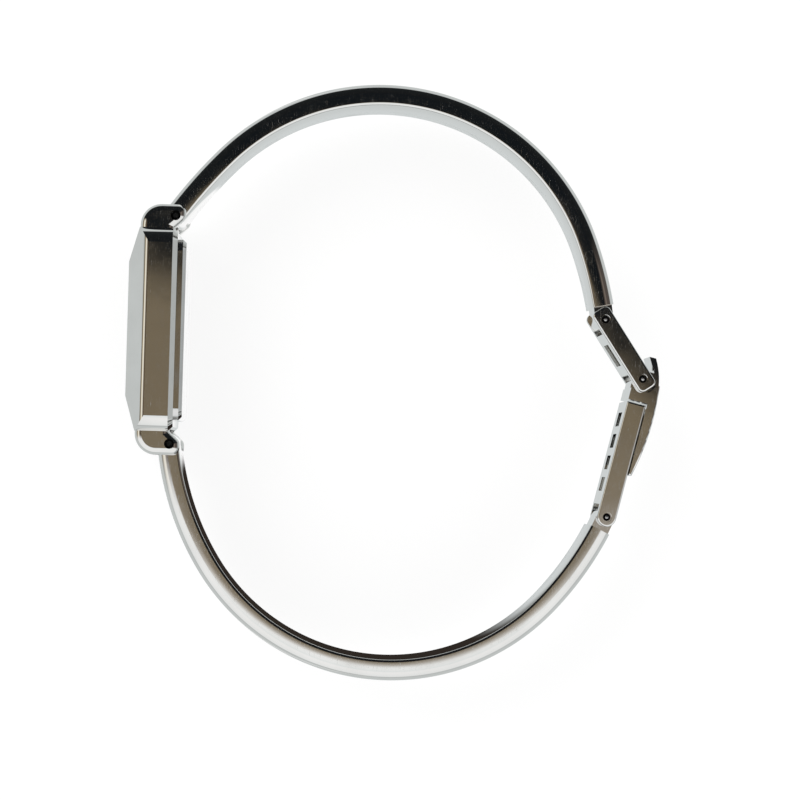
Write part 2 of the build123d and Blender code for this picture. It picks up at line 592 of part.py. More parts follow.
def coil_core():
    """The flat core of the coil."""
    return brick(X_STATOR, X_STATOR + STATOR_THICKNESS, COIL_ALONG - CORE_WIDTH / 2, COIL_ALONG + CORE_WIDTH / 2,
                 -CORE_HALF_LENGTH, CORE_HALF_LENGTH)


def coil_winding():
    """The wound coil, round its core."""
    winding = shaft((X_COIL, COIL_ALONG), COIL_RADIUS, -COIL_HALF_LENGTH, COIL_HALF_LENGTH)
    return winding - coil_core()


def stator():
    """The motor's stator: a plate with the rotor's hole and two legs to the coil's core."""
    low, high = X_STATOR, X_STATOR + STATOR_THICKNESS
    core_side = COIL_ALONG + CORE_WIDTH / 2
    leg_root = COIL_ALONG + COIL_RADIUS + 2 * MOVEMENT_GAP
    plate = brick(low, high, leg_root, STATOR_INNER_END, -STATOR_HALF_WIDTH, STATOR_HALF_WIDTH)
    beam = brick(low, high, leg_root, leg_root + STATOR_LEG, -CORE_HALF_LENGTH, CORE_HALF_LENGTH)
    plate += beam
    for side in (1, -1):
        ends = sorted((side * CORE_HALF_LENGTH, side * (CORE_HALF_LENGTH - STATOR_LEG)))
        plate += brick(low, high, core_side, leg_root + STATOR_LEG, *ends)
    return plate - disc(*ROTOR_PLACE, ROTOR_RADIUS + 2 * MOVEMENT_GAP, low - OVERRUN, high + OVERRUN)


def circuit_board():
    """The board beside the cell."""
    return brick(X_TRAIN, X_TRAIN + BOARD_THICKNESS, BOARD_START, BOARD_START + BOARD_LENGTH,
                 Z_BOARD - BOARD_WIDTH, Z_BOARD)


def circuit_chip():
    """The circuit under its drop of resin."""
    low = X_TRAIN + BOARD_THICKNESS
    y = BOARD_START + BOARD_LENGTH - CHIP_SIZE
    z = Z_BOARD - BOARD_WIDTH + CHIP_SIZE
    return chamfer(brick(low, low + CHIP_HEIGHT, y - CHIP_SIZE / 2, y + CHIP_SIZE / 2, z - CHIP_SIZE / 2, z + CHIP_SIZE / 2)
                   .faces().sort_by(Axis.X)[-1].edges(), CHIP_HEIGHT / 3)


def oscillator_can():
    """The quartz oscillator's can, lying on the board."""
    x = X_TRAIN + BOARD_THICKNESS + OSCILLATOR_RADIUS
    y = BOARD_START + 2 * OSCILLATOR_RADIUS
    return shaft((x, y), OSCILLATOR_RADIUS, Z_BOARD - 2 * OSCILLATOR_RADIUS - OSCILLATOR_LENGTH, Z_BOARD - 2 * OSCILLATOR_RADIUS)


BRIDGE_MIDDLE = -BRIDGE_LENGTH / 4
PILLARS = (polar(PILLAR_SPREAD, 270.0), polar(PILLAR_SPREAD + PILLAR_RADIUS, 86.0))


def train_bridge():
    """The bridge over the wheels, on two pillars."""
    outline = Pos(BRIDGE_MIDDLE, 0) * RectangleRounded(BRIDGE_LENGTH, BRIDGE_WIDTH, BRIDGE_CORNER)
    bridge = extrude(Plane.YZ.offset(X_BRIDGE) * outline, BRIDGE_THICKNESS, dir=(1, 0, 0))
    bridge -= disc(BATTERY_ALONG, BATTERY_ACROSS, BATTERY_RADIUS + BATTERY_PLAY, X_BRIDGE - OVERRUN, X_BRIDGE + OVERRUN)
    for place in PILLARS:
        bridge += disc(*place, PILLAR_RADIUS, X_TRAIN, X_BRIDGE)
    return bridge


def movement_screws():
    """The two slotted screw heads on the bridge."""
    heads = []
    for place in PILLARS:
        head = disc(*place, SCREW_HEAD_RADIUS, X_BRIDGE_TOP, X_BRIDGE_TOP + SCREW_HEAD_HEIGHT)
        slot = brick(X_BRIDGE_TOP + SCREW_HEAD_HEIGHT / 2, X_BRIDGE_TOP + SCREW_HEAD_HEIGHT + OVERRUN,
                     place[0] - SCREW_HEAD_RADIUS, place[0] + SCREW_HEAD_RADIUS,
                     place[1] - SCREW_SLOT / 2, place[1] + SCREW_SLOT / 2)
        heads.append(head - slot)
    return Compound(heads)


def crown():
    """The fluted crown at 3 o'clock."""
    body = shaft((X_STEM, 0), CROWN_RADIUS, Z_CROWN - CROWN_HEIGHT, Z_CROWN)
    body = chamfer(body.edges().group_by(Axis.Z)[0], CROWN_EDGE)
    for k in range(CROWN_FLUTES):
        x, y = polar(CROWN_RADIUS, k * 360 / CROWN_FLUTES)
        body -= shaft((X_STEM + x, y), FLUTE_RADIUS, Z_CROWN - CROWN_HEIGHT + CROWN_EDGE, Z_CROWN + OVERRUN)
    return body


def stem():
    """The winding stem, with the groove that the fork holds."""
    rod = shaft((X_STEM, 0), STEM_RADIUS, Z_CROWN, -STEM_END)
    low, high = -GROOVE_PLACE - GROOVE_WIDTH / 2, -GROOVE_PLACE + GROOVE_WIDTH / 2
    return rod - (shaft((X_STEM, 0), STEM_RADIUS + RUNNING_GAP, low, high) - shaft((X_STEM, 0), GROOVE_RADIUS, low, high))


def stem_seal():
    """The ring on the stem, inside the tube."""
    middle = -CASE_HALF_WIDTH + TUBE_LENGTH / 2
    ring = shaft((X_STEM, 0), STEM_RADIUS + SEAL_WALL, middle - SEAL_WIDTH / 2, middle + SEAL_WIDTH / 2)
    return ring - shaft((X_STEM, 0), STEM_RADIUS, -CASE_HALF_WIDTH - OVERRUN, 0)


def crown_tube():
    """The tube pressed into the case's flank."""
    tube = shaft((X_STEM, 0), TUBE_RADIUS, -CASE_HALF_WIDTH, -CASE_HALF_WIDTH + TUBE_LENGTH)
    bore = shaft((X_STEM, 0), STEM_RADIUS + SEAL_WALL + RUNNING_GAP, -CASE_HALF_WIDTH - OVERRUN, 0)
    return tube - bore


def setting_fork():
    """The fork that slides with the stem and doesn't turn."""
    half = FORK_THICKNESS / 2
    block = brick(X_STEM - STEM_RADIUS, X_STEM + STEM_RADIUS, -FORK_HALF_WIDTH, FORK_HALF_WIDTH,
                  -GROOVE_PLACE - half, -GROOVE_PLACE + half)
    gap = GROOVE_RADIUS + RUNNING_GAP
    return block - brick(X_STEM - gap, X_STEM + OVERRUN, -gap, gap, -CASE_HALF_WIDTH, 0)


def lug_pins():
    """The two pins that carry the bangle halves between the lugs."""
    reach = LUG_INNER + LUG_PIN_SEAT
    return Compound([shaft(place, LUG_HOLE, -reach, reach) for place in (UPPER_PIN, LOWER_PIN)])


def round_along(bar, stations, outside):
    """Round a bar's long edges, largely on its outer side. outside is +1 where that lies to the left."""
    for side, amount in ((outside, BAND_OUTER_EDGE), (-outside, BAND_INNER_EDGE)):
        x, y = beside(stations[len(stations) // 2], side * HALF_BAND)
        for z in (-BAND_HALF_WIDTH, BAND_HALF_WIDTH):
            bar = fillet(bar.edges().sort_by_distance((x, y, z))[0], amount)
    return bar


def bangle_half(stations, pin, outside):
    """One bangle half: a curved bar, a round knuckle on its lug pin and a tongue for the clasp's pin."""
    end = stations[-1]
    bar = slab(strip(stations, HALF_BAND), -BAND_HALF_WIDTH, BAND_HALF_WIDTH)
    along = Pos(*end[:2]) * Rot(0, 0, math.degrees(end[2]))
    bar -= along * brick(-SHOULDER_REACH, OVERRUN, -OVERRUN, OVERRUN, -OVERRUN, OVERRUN)
    bar = round_along(bar, stations, outside)
    flat = BAND_HALF_WIDTH - BAND_INNER_EDGE
    knuckle = slab(Pos(*stations[0][:2]) * Circle(HALF_BAND), -flat, flat)
    bar += fillet(knuckle.edges().filter_by(GeomType.CIRCLE), BAND_KNUCKLE_EDGE)
    tongue = Rectangle(2 * SHOULDER_REACH, 2 * KNUCKLE_RADIUS, align=(Align.MAX, Align.CENTER)) + Circle(KNUCKLE_RADIUS)
    bar += slab(along * tongue, -TONGUE_HALF_WIDTH, TONGUE_HALF_WIDTH)
    bar -= shaft(pin, LUG_HOLE + PIN_GAP, -OVERRUN, OVERRUN)
    return bar - shaft(end[:2], CLASP_PIN_RADIUS + PIN_GAP, -OVERRUN, OVERRUN)


def flank_holes(places):
    """The pin holes of a fork and the counterbores at its two flanks."""
    holes = []
    for place in places:
        holes.append(shaft(place, CLASP_PIN_RADIUS, -OVERRUN, OVERRUN))
        depth = BAND_HALF_WIDTH - PIN_COUNTERBORE_DEPTH
        holes.append(shaft(place, PIN_COUNTERBORE, depth, BAND_HALF_WIDTH + OVERRUN))
        holes.append(shaft(place, PIN_COUNTERBORE, -BAND_HALF_WIDTH - OVERRUN, -depth))
    return holes


def fork_gap(x_low, x_high):
    """The space between two flanges where a tongue or knuckle turns."""
    return brick(x_low, x_high, -OVERRUN, OVERRUN, -FLANGE_INNER, FLANGE_INNER)


def clasp_link():
    """The folding link: two flanges and a web with a window. Local X runs from pin A to pin B."""
    full = 2 * LINK_END_REACH + LINK_LENGTH
    outline = Pos(LINK_LENGTH / 2, 0) * RectangleRounded(full, 2 * LINK_HALF_THICKNESS, LINK_END_CORNER)
    body = soften(slab(outline, -BAND_HALF_WIDTH, BAND_HALF_WIDTH), CLASP_EDGE, BAND_HALF_WIDTH)
    room = KNUCKLE_RADIUS + 2 * KNUCKLE_GAP
    body -= fork_gap(-OVERRUN, room)
    body -= fork_gap(LINK_LENGTH - room, LINK_LENGTH + OVERRUN)
    body -= brick(room - OVERRUN, LINK_LENGTH, -LINK_HALF_THICKNESS + WEB_THICKNESS, OVERRUN, -FLANGE_INNER, FLANGE_INNER)
    middle = LINK_LENGTH / 2
    body -= brick(middle - LINK_WINDOW_LENGTH / 2, middle + LINK_WINDOW_LENGTH / 2, -OVERRUN, OVERRUN,
                  -LINK_WINDOW_HALF_WIDTH, LINK_WINDOW_HALF_WIDTH)
    for hole in flank_holes(((0, 0), (LINK_LENGTH, 0))):
        body -= hole
    return LINK_PLACE * body


def clasp_pin(place):
    """A pin whose ends stand back in the counterbores."""
    reach = BAND_HALF_WIDTH - PIN_END_DEPTH
    return shaft(place, CLASP_PIN_RADIUS, -reach, reach)


COVER_UNDERSIDE = LINK_HALF_THICKNESS + COVER_LIFT
COVER_BLOCK_END = LADDER_GAP - COVER_STOP_GAP
COVER_END = CATCH_END + COVER_LIP


def cover_outline(hinge_room):
    """The cover seen from its flank. Local origin at pin B, X towards pin C, Y away from the wrist."""
    heel_out = (-COVER_HEEL, COVER_HEEL_RISE)
    heel_in = (-COVER_HEEL, COVER_HEEL_RISE - HEEL_WALL)
    bend = (COVER_SHOULDER, COVER_SHOULDER_RISE)
    over_heel = ((heel_out[0] + bend[0]) / 2, (heel_out[1] + bend[1]) / 2 + HEEL_BULGE)
    shoulder = math.sqrt(hinge_room ** 2 - KNUCKLE_RADIUS ** 2)
    top = polar(hinge_room, 104.0)
    edges = [
        ThreePointArc(heel_out, over_heel, bend),
        ThreePointArc(bend, (COVER_END * COVER_CREST_SHARE, COVER_CREST_RISE), (COVER_END, COVER_END_RISE)),
        Line((COVER_END, COVER_END_RISE), (COVER_END, COVER_UNDERSIDE)),
        Line((COVER_END, COVER_UNDERSIDE), (COVER_BLOCK_END, COVER_UNDERSIDE)),
        Line((COVER_BLOCK_END, COVER_UNDERSIDE), (COVER_BLOCK_END, -KNUCKLE_RADIUS)),
        Line((COVER_BLOCK_END, -KNUCKLE_RADIUS), (shoulder, -KNUCKLE_RADIUS)),
        ThreePointArc((shoulder, -KNUCKLE_RADIUS), polar(hinge_room, 30.0), top),
        Line(top, heel_in),
        Line(heel_in, heel_out),
    ]
    return make_face(edges)


def clasp_cover():
    """The arched cover over the ladder plate, with its heel beyond the hinge."""
    body = slab(cover_outline(COVER_HINGE_ROOM), -BAND_HALF_WIDTH, BAND_HALF_WIDTH)
    body = soften(body, CLASP_EDGE, BAND_HALF_WIDTH, COVER_UNDERSIDE)
    for low, high in ((TONGUE_HALF_WIDTH, OVERRUN), (-OVERRUN, -TONGUE_HALF_WIDTH)):
        body -= brick(-OVERRUN, COVER_FLANK_START, -OVERRUN, OVERRUN, low, high)
    knuckle = Circle(KNUCKLE_RADIUS) + Rectangle(2 * KNUCKLE_RADIUS, 2 * KNUCKLE_RADIUS, align=(Align.MIN, Align.CENTER))
    neck = Rectangle(2 * KNUCKLE_RADIUS, COVER_HINGE_ROOM + KNUCKLE_GAP, align=(Align.CENTER, Align.MIN))
    body += slab(knuckle + neck, -TONGUE_HALF_WIDTH, TONGUE_HALF_WIDTH)
    body -= shaft((0, 0), CLASP_PIN_RADIUS + PIN_GAP, -OVERRUN, OVERRUN)
    return COVER_PLACE * body


def cover_catch():
    """The bar under the cover that drops into a slot of the ladder plate. Same local axes as the cover."""
    high = CATCH_END - CATCH_PLAY
    bottom = -LINK_HALF_THICKNESS + LADDER_WEB - CATCH_DEPTH
    bar = brick(high - CATCH_THICKNESS, high, bottom, COVER_UNDERSIDE, -CATCH_HALF_WIDTH, CATCH_HALF_WIDTH)
    return COVER_PLACE * bar


def ladder_plate():
    """The slotted plate on the lower half. Local origin at pin C, X towards pin B, Y towards the wrist."""
    outline = Circle(LINK_HALF_THICKNESS) + Rectangle(LADDER_LENGTH, 2 * LINK_HALF_THICKNESS, align=(Align.MIN, Align.CENTER))
    body = soften(slab(outline, -BAND_HALF_WIDTH, BAND_HALF_WIDTH), CLASP_EDGE, BAND_HALF_WIDTH)
    body -= fork_gap(-OVERRUN, KNUCKLE_RADIUS + 2 * KNUCKLE_GAP)
    body -= brick(0, LADDER_LENGTH + OVERRUN, -OVERRUN, LINK_HALF_THICKNESS - LADDER_WEB, -FLANGE_INNER, FLANGE_INNER)
    for place in SLOT_PLACES:
        body -= brick(place, place + SLOT_LENGTH, -OVERRUN, OVERRUN, -SLOT_HALF_WIDTH, SLOT_HALF_WIDTH)
    for hole in flank_holes(((0, 0),)):
        body -= hole
    return LADDER_PLACE * body


def main():
    """Write every node."""
    os.makedirs("parts", exist_ok=True)
    hour_hand_bore = PIPE_RADIUS
    save("case_body", case_body())
    save("case_back", case_back())
    save("back_gasket", back_gasket())
    save("crystal", crystal())
    save("crystal_gasket", crystal_gasket())
    save("dial", dial())
    save("hour_markers", hour_markers())
    save("movement_holder", movement_holder())
    save("main_plate", main_plate())
    save("battery", battery())
    save("battery_strap", battery_strap())
    save("coil_core", coil_core())
    save("coil_winding", coil_winding())
    save("stator", stator())
    save("circuit_board", circuit_board())
    save("circuit_chip", circuit_chip())
    save("oscillator_can", oscillator_can())
    save("train_bridge", train_bridge())
    save("movement_screws", movement_screws())
    save("crown_tube", crown_tube())
    save("lug_pins", lug_pins())
    save("hour_hand", hand(HOUR_HAND_LENGTH, HAND_WIDTH, X_HOUR_HAND, hour_hand_bore, HOUR_HAND_CLOCK_ANGLE))
    save("minute_hand", hand(MINUTE_HAND_LENGTH, HAND_WIDTH, X_MINUTE_HAND, ARBOR_RADIUS, MINUTE_HAND_CLOCK_ANGLE))
    save("centre_arbor", centre_arbor())
    save("hour_wheel", hour_wheel())
    save("minute_wheel", minute_wheel())
    save("third_wheel", third_wheel())
    save("rotor", rotor())
    save("crown", crown())
    save("stem", stem())
    save("stem_seal", stem_seal())
    save("setting_fork", setting_fork())
    save("upper_half", bangle_half(UPPER_STATIONS, UPPER_PIN, 1))
    save("lower_half", bangle_half(LOWER_STATIONS, LOWER_PIN, -1))
    save("clasp_link", clasp_link())
    save("link_pin", clasp_pin(PIN_A))
    save("cover_pin", clasp_pin(PIN_B))
    save("clasp_cover", clasp_cover())
    save("cover_catch", cover_catch())
    save("ladder_plate", ladder_plate())
    save("ladder_pin", clasp_pin(PIN_C))


main()
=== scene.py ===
"""A polished steel bangle watch with a fold-over clasp, seen from its 9 o'clock flank on a white ground.

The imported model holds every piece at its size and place. This script dresses the pieces in their finishes,
adds what the finish needs, and sets the ground, the light and the camera. Lengths are in metres.
"""

import json
import logging
import math
from collections.abc import Callable
from dataclasses import dataclass, field
from enum import Enum

import bmesh
import bpy
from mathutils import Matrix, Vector

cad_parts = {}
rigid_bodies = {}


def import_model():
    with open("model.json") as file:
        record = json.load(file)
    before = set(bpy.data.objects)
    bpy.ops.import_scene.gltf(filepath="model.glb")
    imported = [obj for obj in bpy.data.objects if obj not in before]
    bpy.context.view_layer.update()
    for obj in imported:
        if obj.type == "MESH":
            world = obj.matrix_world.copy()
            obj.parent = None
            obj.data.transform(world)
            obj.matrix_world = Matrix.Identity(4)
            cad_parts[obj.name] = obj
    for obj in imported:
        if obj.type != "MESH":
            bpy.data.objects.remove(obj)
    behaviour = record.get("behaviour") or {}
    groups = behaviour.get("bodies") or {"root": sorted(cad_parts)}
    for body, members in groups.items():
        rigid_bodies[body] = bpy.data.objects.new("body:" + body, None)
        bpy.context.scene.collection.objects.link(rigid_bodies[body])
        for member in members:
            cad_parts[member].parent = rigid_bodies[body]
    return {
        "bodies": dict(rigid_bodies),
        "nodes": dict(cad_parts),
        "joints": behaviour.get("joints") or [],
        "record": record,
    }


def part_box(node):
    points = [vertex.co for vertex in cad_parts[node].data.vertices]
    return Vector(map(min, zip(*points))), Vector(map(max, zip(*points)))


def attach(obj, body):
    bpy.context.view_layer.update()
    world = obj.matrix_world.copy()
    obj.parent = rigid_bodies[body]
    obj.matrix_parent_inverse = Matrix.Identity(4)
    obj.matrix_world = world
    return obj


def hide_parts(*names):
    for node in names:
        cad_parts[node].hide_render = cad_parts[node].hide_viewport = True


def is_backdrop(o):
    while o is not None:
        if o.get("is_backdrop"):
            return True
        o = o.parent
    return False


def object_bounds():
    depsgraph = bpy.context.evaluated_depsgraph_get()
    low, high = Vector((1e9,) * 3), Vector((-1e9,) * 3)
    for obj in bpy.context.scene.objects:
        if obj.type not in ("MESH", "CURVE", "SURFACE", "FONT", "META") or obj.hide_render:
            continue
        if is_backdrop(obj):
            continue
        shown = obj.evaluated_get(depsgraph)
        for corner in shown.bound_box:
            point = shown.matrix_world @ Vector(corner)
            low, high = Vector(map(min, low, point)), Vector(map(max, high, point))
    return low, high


Triple = tuple[float, float, float]
Colour = Triple
Pair = tuple[float, float]
Stops = list[tuple[float, Colour]]

LOG = logging.getLogger("bangle_watch")
MM = 0.001

# The widest angle that shades smooth, the least distance that counts in millimetres, the sense in which spin
# turns with no window, and how much of a normal lies along the axis where a face counts as an end
SMOOTH_ANGLE = math.radians(32.0)
WELD = 1e-4
SPIN_SENSE = -1.0
FACING_SHARE = 0.5

# Spans of noise values that the finishes stretch
WHOLE = (0.0, 1.0)
CLOUD_SPAN = (0.3, 0.7)
WEAR_SPAN = (0.42, 0.72)
MARK_SPAN = (0.35, 0.65)
HAIRLINE_SPAN = (0.70, 0.74)
SMUDGE_SPAN = (0.45, 0.8)

# Marks, hairlines, and dirt with painted shade on metal
MARK_TURN = (0.06, 0.04, 0.09)
HAIRLINE_STRETCH = (30.0, 1.0, 1.0)
HAIRLINE_TILT = (0.2, 0.3)
HAIRLINES = ((0.4, 900.0), (1.5, 1300.0), (2.6, 700.0))
SOIL_AND_SHADE = "soil"
# The soil mark paints near-black dirt and shade into the pins' recessed ends and the lug holes
SOIL_AND_SHADE_COLOUR = (0.012, 0.012, 0.012)
SOIL_AND_SHADE_ROUGHNESS = (0.0, 0.5)

# Plain colours of the ground: as the camera sees it, the painted reflection grey and the painted dark patch
# that the steel mirrors of it, and as it takes light
WHITE = (1.0, 1.0, 1.0)
GROUND_MIRRORED = (0.64, 0.67, 0.67)
PAINTED_DARK_REFLECTION = (0.028, 0.022, 0.018)
GROUND_PAINT = (0.93, 0.93, 0.925)

# What the steel mirrors overhead, along the direction's part towards 6 o'clock
OVERHEAD_SPAN = (-0.12, 0.12)
OVERHEAD_BANDS = [(-0.12, (0.90, 0.93, 0.93)), (-0.034, (0.97, 0.98, 0.98)), (-0.022, (0.50, 0.46, 0.41)),
                  (-0.010, (0.25, 0.21, 0.155)), (0.014, (0.205, 0.165, 0.11)), (0.12, (0.205, 0.165, 0.11))]
OVERHEAD_SHADE = (0.008, 0.010, 0.012)
SHADE_EDGE = (0.035, 0.047)
SHADE_SLANT = 0.145
SHADE_BEYOND = (0.065, 0.86)
RIPPLE_SCALE = 30.0
RIPPLE = (-0.003, 0.003)

# What it mirrors around, along the direction's part upwards
TENT_SPAN = (-0.2, 1.0)
BACK_BANDS = [(-0.2, (0.50, 0.52, 0.52)), (0.06, (0.50, 0.52, 0.52)), (0.12, (0.10, 0.09, 0.08)),
              (0.70, (0.10, 0.08, 0.07)), (0.86, (0.22, 0.18, 0.15)), (0.95, (0.08, 0.065, 0.055)),
              (1.0, (0.06, 0.05, 0.04))]
DIAL_BANDS = [(-0.2, (0.50, 0.52, 0.52)), (0.05, (0.48, 0.50, 0.48)), (0.12, (0.16, 0.13, 0.09)),
              (0.40, (0.30, 0.25, 0.17)), (0.50, (0.95, 0.86, 0.68)), (0.78, (0.92, 0.88, 0.78)),
              (0.86, (0.20, 0.15, 0.10)), (1.0, (0.06, 0.045, 0.03))]
WHITE_BANDS = [(-0.2, (0.62, 0.64, 0.64)), (0.08, (0.50, 0.52, 0.52)), (0.25, (0.92, 0.94, 0.94)),
               (0.90, (1.0, 1.0, 1.0)), (1.0, (0.97, 0.98, 0.98))]
DARK_BANDS = [(-0.2, (0.45, 0.47, 0.47)), (0.0, (0.40, 0.42, 0.42)), (0.06, (0.02, 0.022, 0.023)),
              (0.50, (0.012, 0.014, 0.015)), (1.0, (0.010, 0.011, 0.012))]

# Where these fields meet
TENT_EDGE = (0.955, 0.982)
LEAN_MIDDLE = 0.015
LEAN_EDGE = (0.10, 0.16)
SIDES_EDGE = (-0.15, 0.15)
WHITE_EDGE = (-0.35, -0.05)
DARK_EDGE = (0.28, 0.42)
LEAST_LENGTH = 0.001


class Grain(Enum):
    """The direction in which a worn or ground surface was last rubbed."""

    ALONG_Y = (24.0, 1.0, 24.0)
    ALONG_Z = (24.0, 24.0, 1.0)
    ALL_WAYS = (1.0, 1.0, 1.0)


class Graph:
    """A node tree with short calls for the sums and mixes that the finishes and the sky need."""

    def __init__(self, tree: bpy.types.NodeTree) -> None:
        """Keep the tree's nodes and links.

        Args:
            tree: the tree to add nodes to.
        """
        self.nodes = tree.nodes
        self.links = tree.links

    def link(self, source: bpy.types.NodeSocket, target: bpy.types.NodeSocket) -> None:
        """Join two sockets."""
        self.links.new(source, target)

    def noise(self, vector: bpy.types.NodeSocket, scale: float, detail: float = 3.0) -> bpy.types.NodeSocket:
        """A noise value between 0 and 1 along a vector.

        Args:
            vector: where the noise is read.
            scale: how many features there are per unit.
            detail: how many finer layers are added.

        Returns:
            The noise value.
        """
        node = self.nodes.new("ShaderNodeTexNoise")
        node.inputs["Scale"].default_value = scale
        node.inputs["Detail"].default_value = detail
        self.link(vector, node.inputs["Vector"])
        return node.outputs["Fac"]

    def remap(self, value: bpy.types.NodeSocket, span: Pair, result: Pair,
              smooth: bool = False) -> bpy.types.NodeSocket:
        """Stretch one span of a value over another, and hold it at the ends.

        Args:
            value: the value to change.
            span: the two input values.
            result: what they become.
            smooth: whether the change starts and ends gently.

        Returns:
            The changed value.
        """
        node = self.nodes.new("ShaderNodeMapRange")
        node.interpolation_type = "SMOOTHSTEP" if smooth else "LINEAR"
        node.inputs["From Min"].default_value, node.inputs["From Max"].default_value = span
        node.inputs["To Min"].default_value, node.inputs["To Max"].default_value = result
        self.link(value, node.inputs["Value"])
        return node.outputs["Result"]

    def sum_up(self, operation: str, *values: bpy.types.NodeSocket | float) -> bpy.types.NodeSocket:
        """One step of arithmetic.

        Args:
            operation: the Math node's operation.
            values: sockets or numbers.

        Returns:
            The result.
        """
        node = self.nodes.new("ShaderNodeMath")
        node.operation = operation
        for socket, value in zip(node.inputs, values):
            if isinstance(value, (int, float)):
                socket.default_value = value
            else:
                self.link(value, socket)
        return node.outputs["Value"]

    def mix(self, share: bpy.types.NodeSocket, first: bpy.types.NodeSocket | Colour,
            second: bpy.types.NodeSocket | Colour) -> bpy.types.NodeSocket:
        """Mix two colours by a value.

        Args:
            share: 0 for the first colour and 1 for the second.
            first: the first colour or its socket.
            second: the second colour or its socket.

        Returns:
            The mixed colour.
        """
        node = self.nodes.new("ShaderNodeMix")
        node.data_type = "RGBA"
        for name, value in (("A", first), ("B", second)):
            socket = next(s for s in node.inputs if s.name == name and s.type == "RGBA")
            if isinstance(value, tuple):
                socket.default_value = (*value, 1.0)
            else:
                self.link(value, socket)
        self.link(share, node.inputs["Factor"])
        return next(s for s in node.outputs if s.type == "RGBA")

    def bands(self, value: bpy.types.NodeSocket, span: Pair, stops: Stops) -> bpy.types.NodeSocket:
        """Colours along a value.

        Args:
            value: what the colours follow.
            span: the values where the bands start and end.
            stops: each value within the span with its colour.

        Returns:
            The colour.
        """
        node = self.nodes.new("ShaderNodeValToRGB")
        ramp = node.color_ramp
        while len(ramp.elements) < len(stops):
            ramp.elements.new(1.0)
        for element, (place, colour) in zip(ramp.elements, stops):
            element.position = (place - span[0]) / (span[1] - span[0])
            element.color = (*colour, 1.0)
        self.link(self.remap(value, span, WHOLE), node.inputs["Fac"])
        return node.outputs["Color"]


class Shader(Graph):
    """One material's nodes, round a Principled shader."""

    def __init__(self, name: str) -> None:
        """Start an empty material.

        Args:
            name: the material's name.
        """
        self.material = bpy.data.materials.new(name)
        self.material.use_nodes = True
        super().__init__(self.material.node_tree)
        self.surface = self.nodes["Principled BSDF"]
        self.place = self.nodes.new("ShaderNodeTexCoord").outputs["Object"]

    def stretched(self, scale: Triple, turn: Triple) -> bpy.types.NodeSocket:
        """Object coordinates after a stretch and a turn.

        Args:
            scale: the stretch along each axis.
            turn: the turn about each axis, in radians.

        Returns:
            The mapped vector.
        """
        mapping = self.nodes.new("ShaderNodeMapping")
        mapping.inputs["Scale"].default_value = scale
        mapping.inputs["Rotation"].default_value = turn
        self.link(self.place, mapping.inputs["Vector"])
        return mapping.outputs["Vector"]

    def relief(self, height: bpy.types.NodeSocket, depth: float,
               under: bpy.types.NodeSocket | None = None) -> bpy.types.NodeSocket:
        """Bump from a height value.

        Args:
            height: the height, between 0 and 1.
            depth: the relief's real depth.
            under: a normal that this relief lies on, if there is one.

        Returns:
            The bumped normal.
        """
        node = self.nodes.new("ShaderNodeBump")
        node.inputs["Strength"].default_value = 1.0
        node.inputs["Distance"].default_value = depth
        self.link(height, node.inputs["Height"])
        if under:
            self.link(under, node.inputs["Normal"])
        return node.outputs["Normal"]


@dataclass(frozen=True)
class Metal:
    """A metal finish: smudges, hairlines from wear, a slight waviness from the polishing wheel, and dirt with
    painted shade.
    """

    name: str
    tint: Colour
    shade: Colour
    roughness: float
    worn_roughness: float
    grain: Grain = Grain.ALL_WAYS
    mark_depth: float = 0.0006 * MM
    wave_depth: float = 0.0
    patch_scale: float = 260.0
    mark_scale: float = 3200.0
    patch_detail: float = 4.0
    mark_detail: float = 5.0
    hairline_share: float = 0.0
    # Whether the surface is darkened and roughened where its attribute is set: dirt with painted shade
    soiled_and_shaded: bool = False

    def build(self) -> bpy.types.Material:
        """Make the material.

        Returns:
            The finished material.
        """
        shader = Shader(self.name)
        patches = shader.noise(shader.place, self.patch_scale, self.patch_detail)
        marks = shader.noise(shader.stretched(self.grain.value, MARK_TURN), self.mark_scale, self.mark_detail)
        colour = shader.mix(shader.remap(patches, CLOUD_SPAN, WHOLE), self.tint, self.shade)
        wear = shader.remap(patches, WEAR_SPAN, (self.roughness, self.worn_roughness))
        if self.hairline_share:
            wear = shader.sum_up("ADD", wear, self.hairlines(shader))
        # Dirt and painted shade: darker and rougher where the attribute is set
        if self.soiled_and_shaded:
            soil = shader.nodes.new("ShaderNodeAttribute")
            soil.attribute_name = SOIL_AND_SHADE
            colour = shader.mix(soil.outputs["Fac"], colour, SOIL_AND_SHADE_COLOUR)
            wear = shader.sum_up("ADD", wear, shader.remap(soil.outputs["Fac"], WHOLE, SOIL_AND_SHADE_ROUGHNESS))
        shader.link(colour, shader.surface.inputs["Base Color"])
        shader.link(wear, shader.surface.inputs["Roughness"])
        normal = shader.relief(shader.remap(marks, MARK_SPAN, WHOLE), self.mark_depth)
        if self.wave_depth:
            waves = shader.noise(shader.place, self.patch_scale, 1.0)
            normal = shader.relief(waves, self.wave_depth, normal)
        shader.link(normal, shader.surface.inputs["Normal"])
        shader.surface.inputs["Metallic"].default_value = 1.0
        return shader.material

    def hairlines(self, shader: Shader) -> bpy.types.NodeSocket:
        """Sparse thin scratches that run in three directions.

        Args:
            shader: the material being built.

        Returns:
            The roughness that they add.
        """
        total = None
        for turn, scale in HAIRLINES:
            tilt = (HAIRLINE_TILT[0] * turn, HAIRLINE_TILT[1], turn)
            line = shader.noise(shader.stretched(HAIRLINE_STRETCH, tilt), scale, 1.0)
            cut = shader.remap(line, HAIRLINE_SPAN, (0.0, self.hairline_share))
            total = cut if total is None else shader.sum_up("ADD", total, cut)
        return total


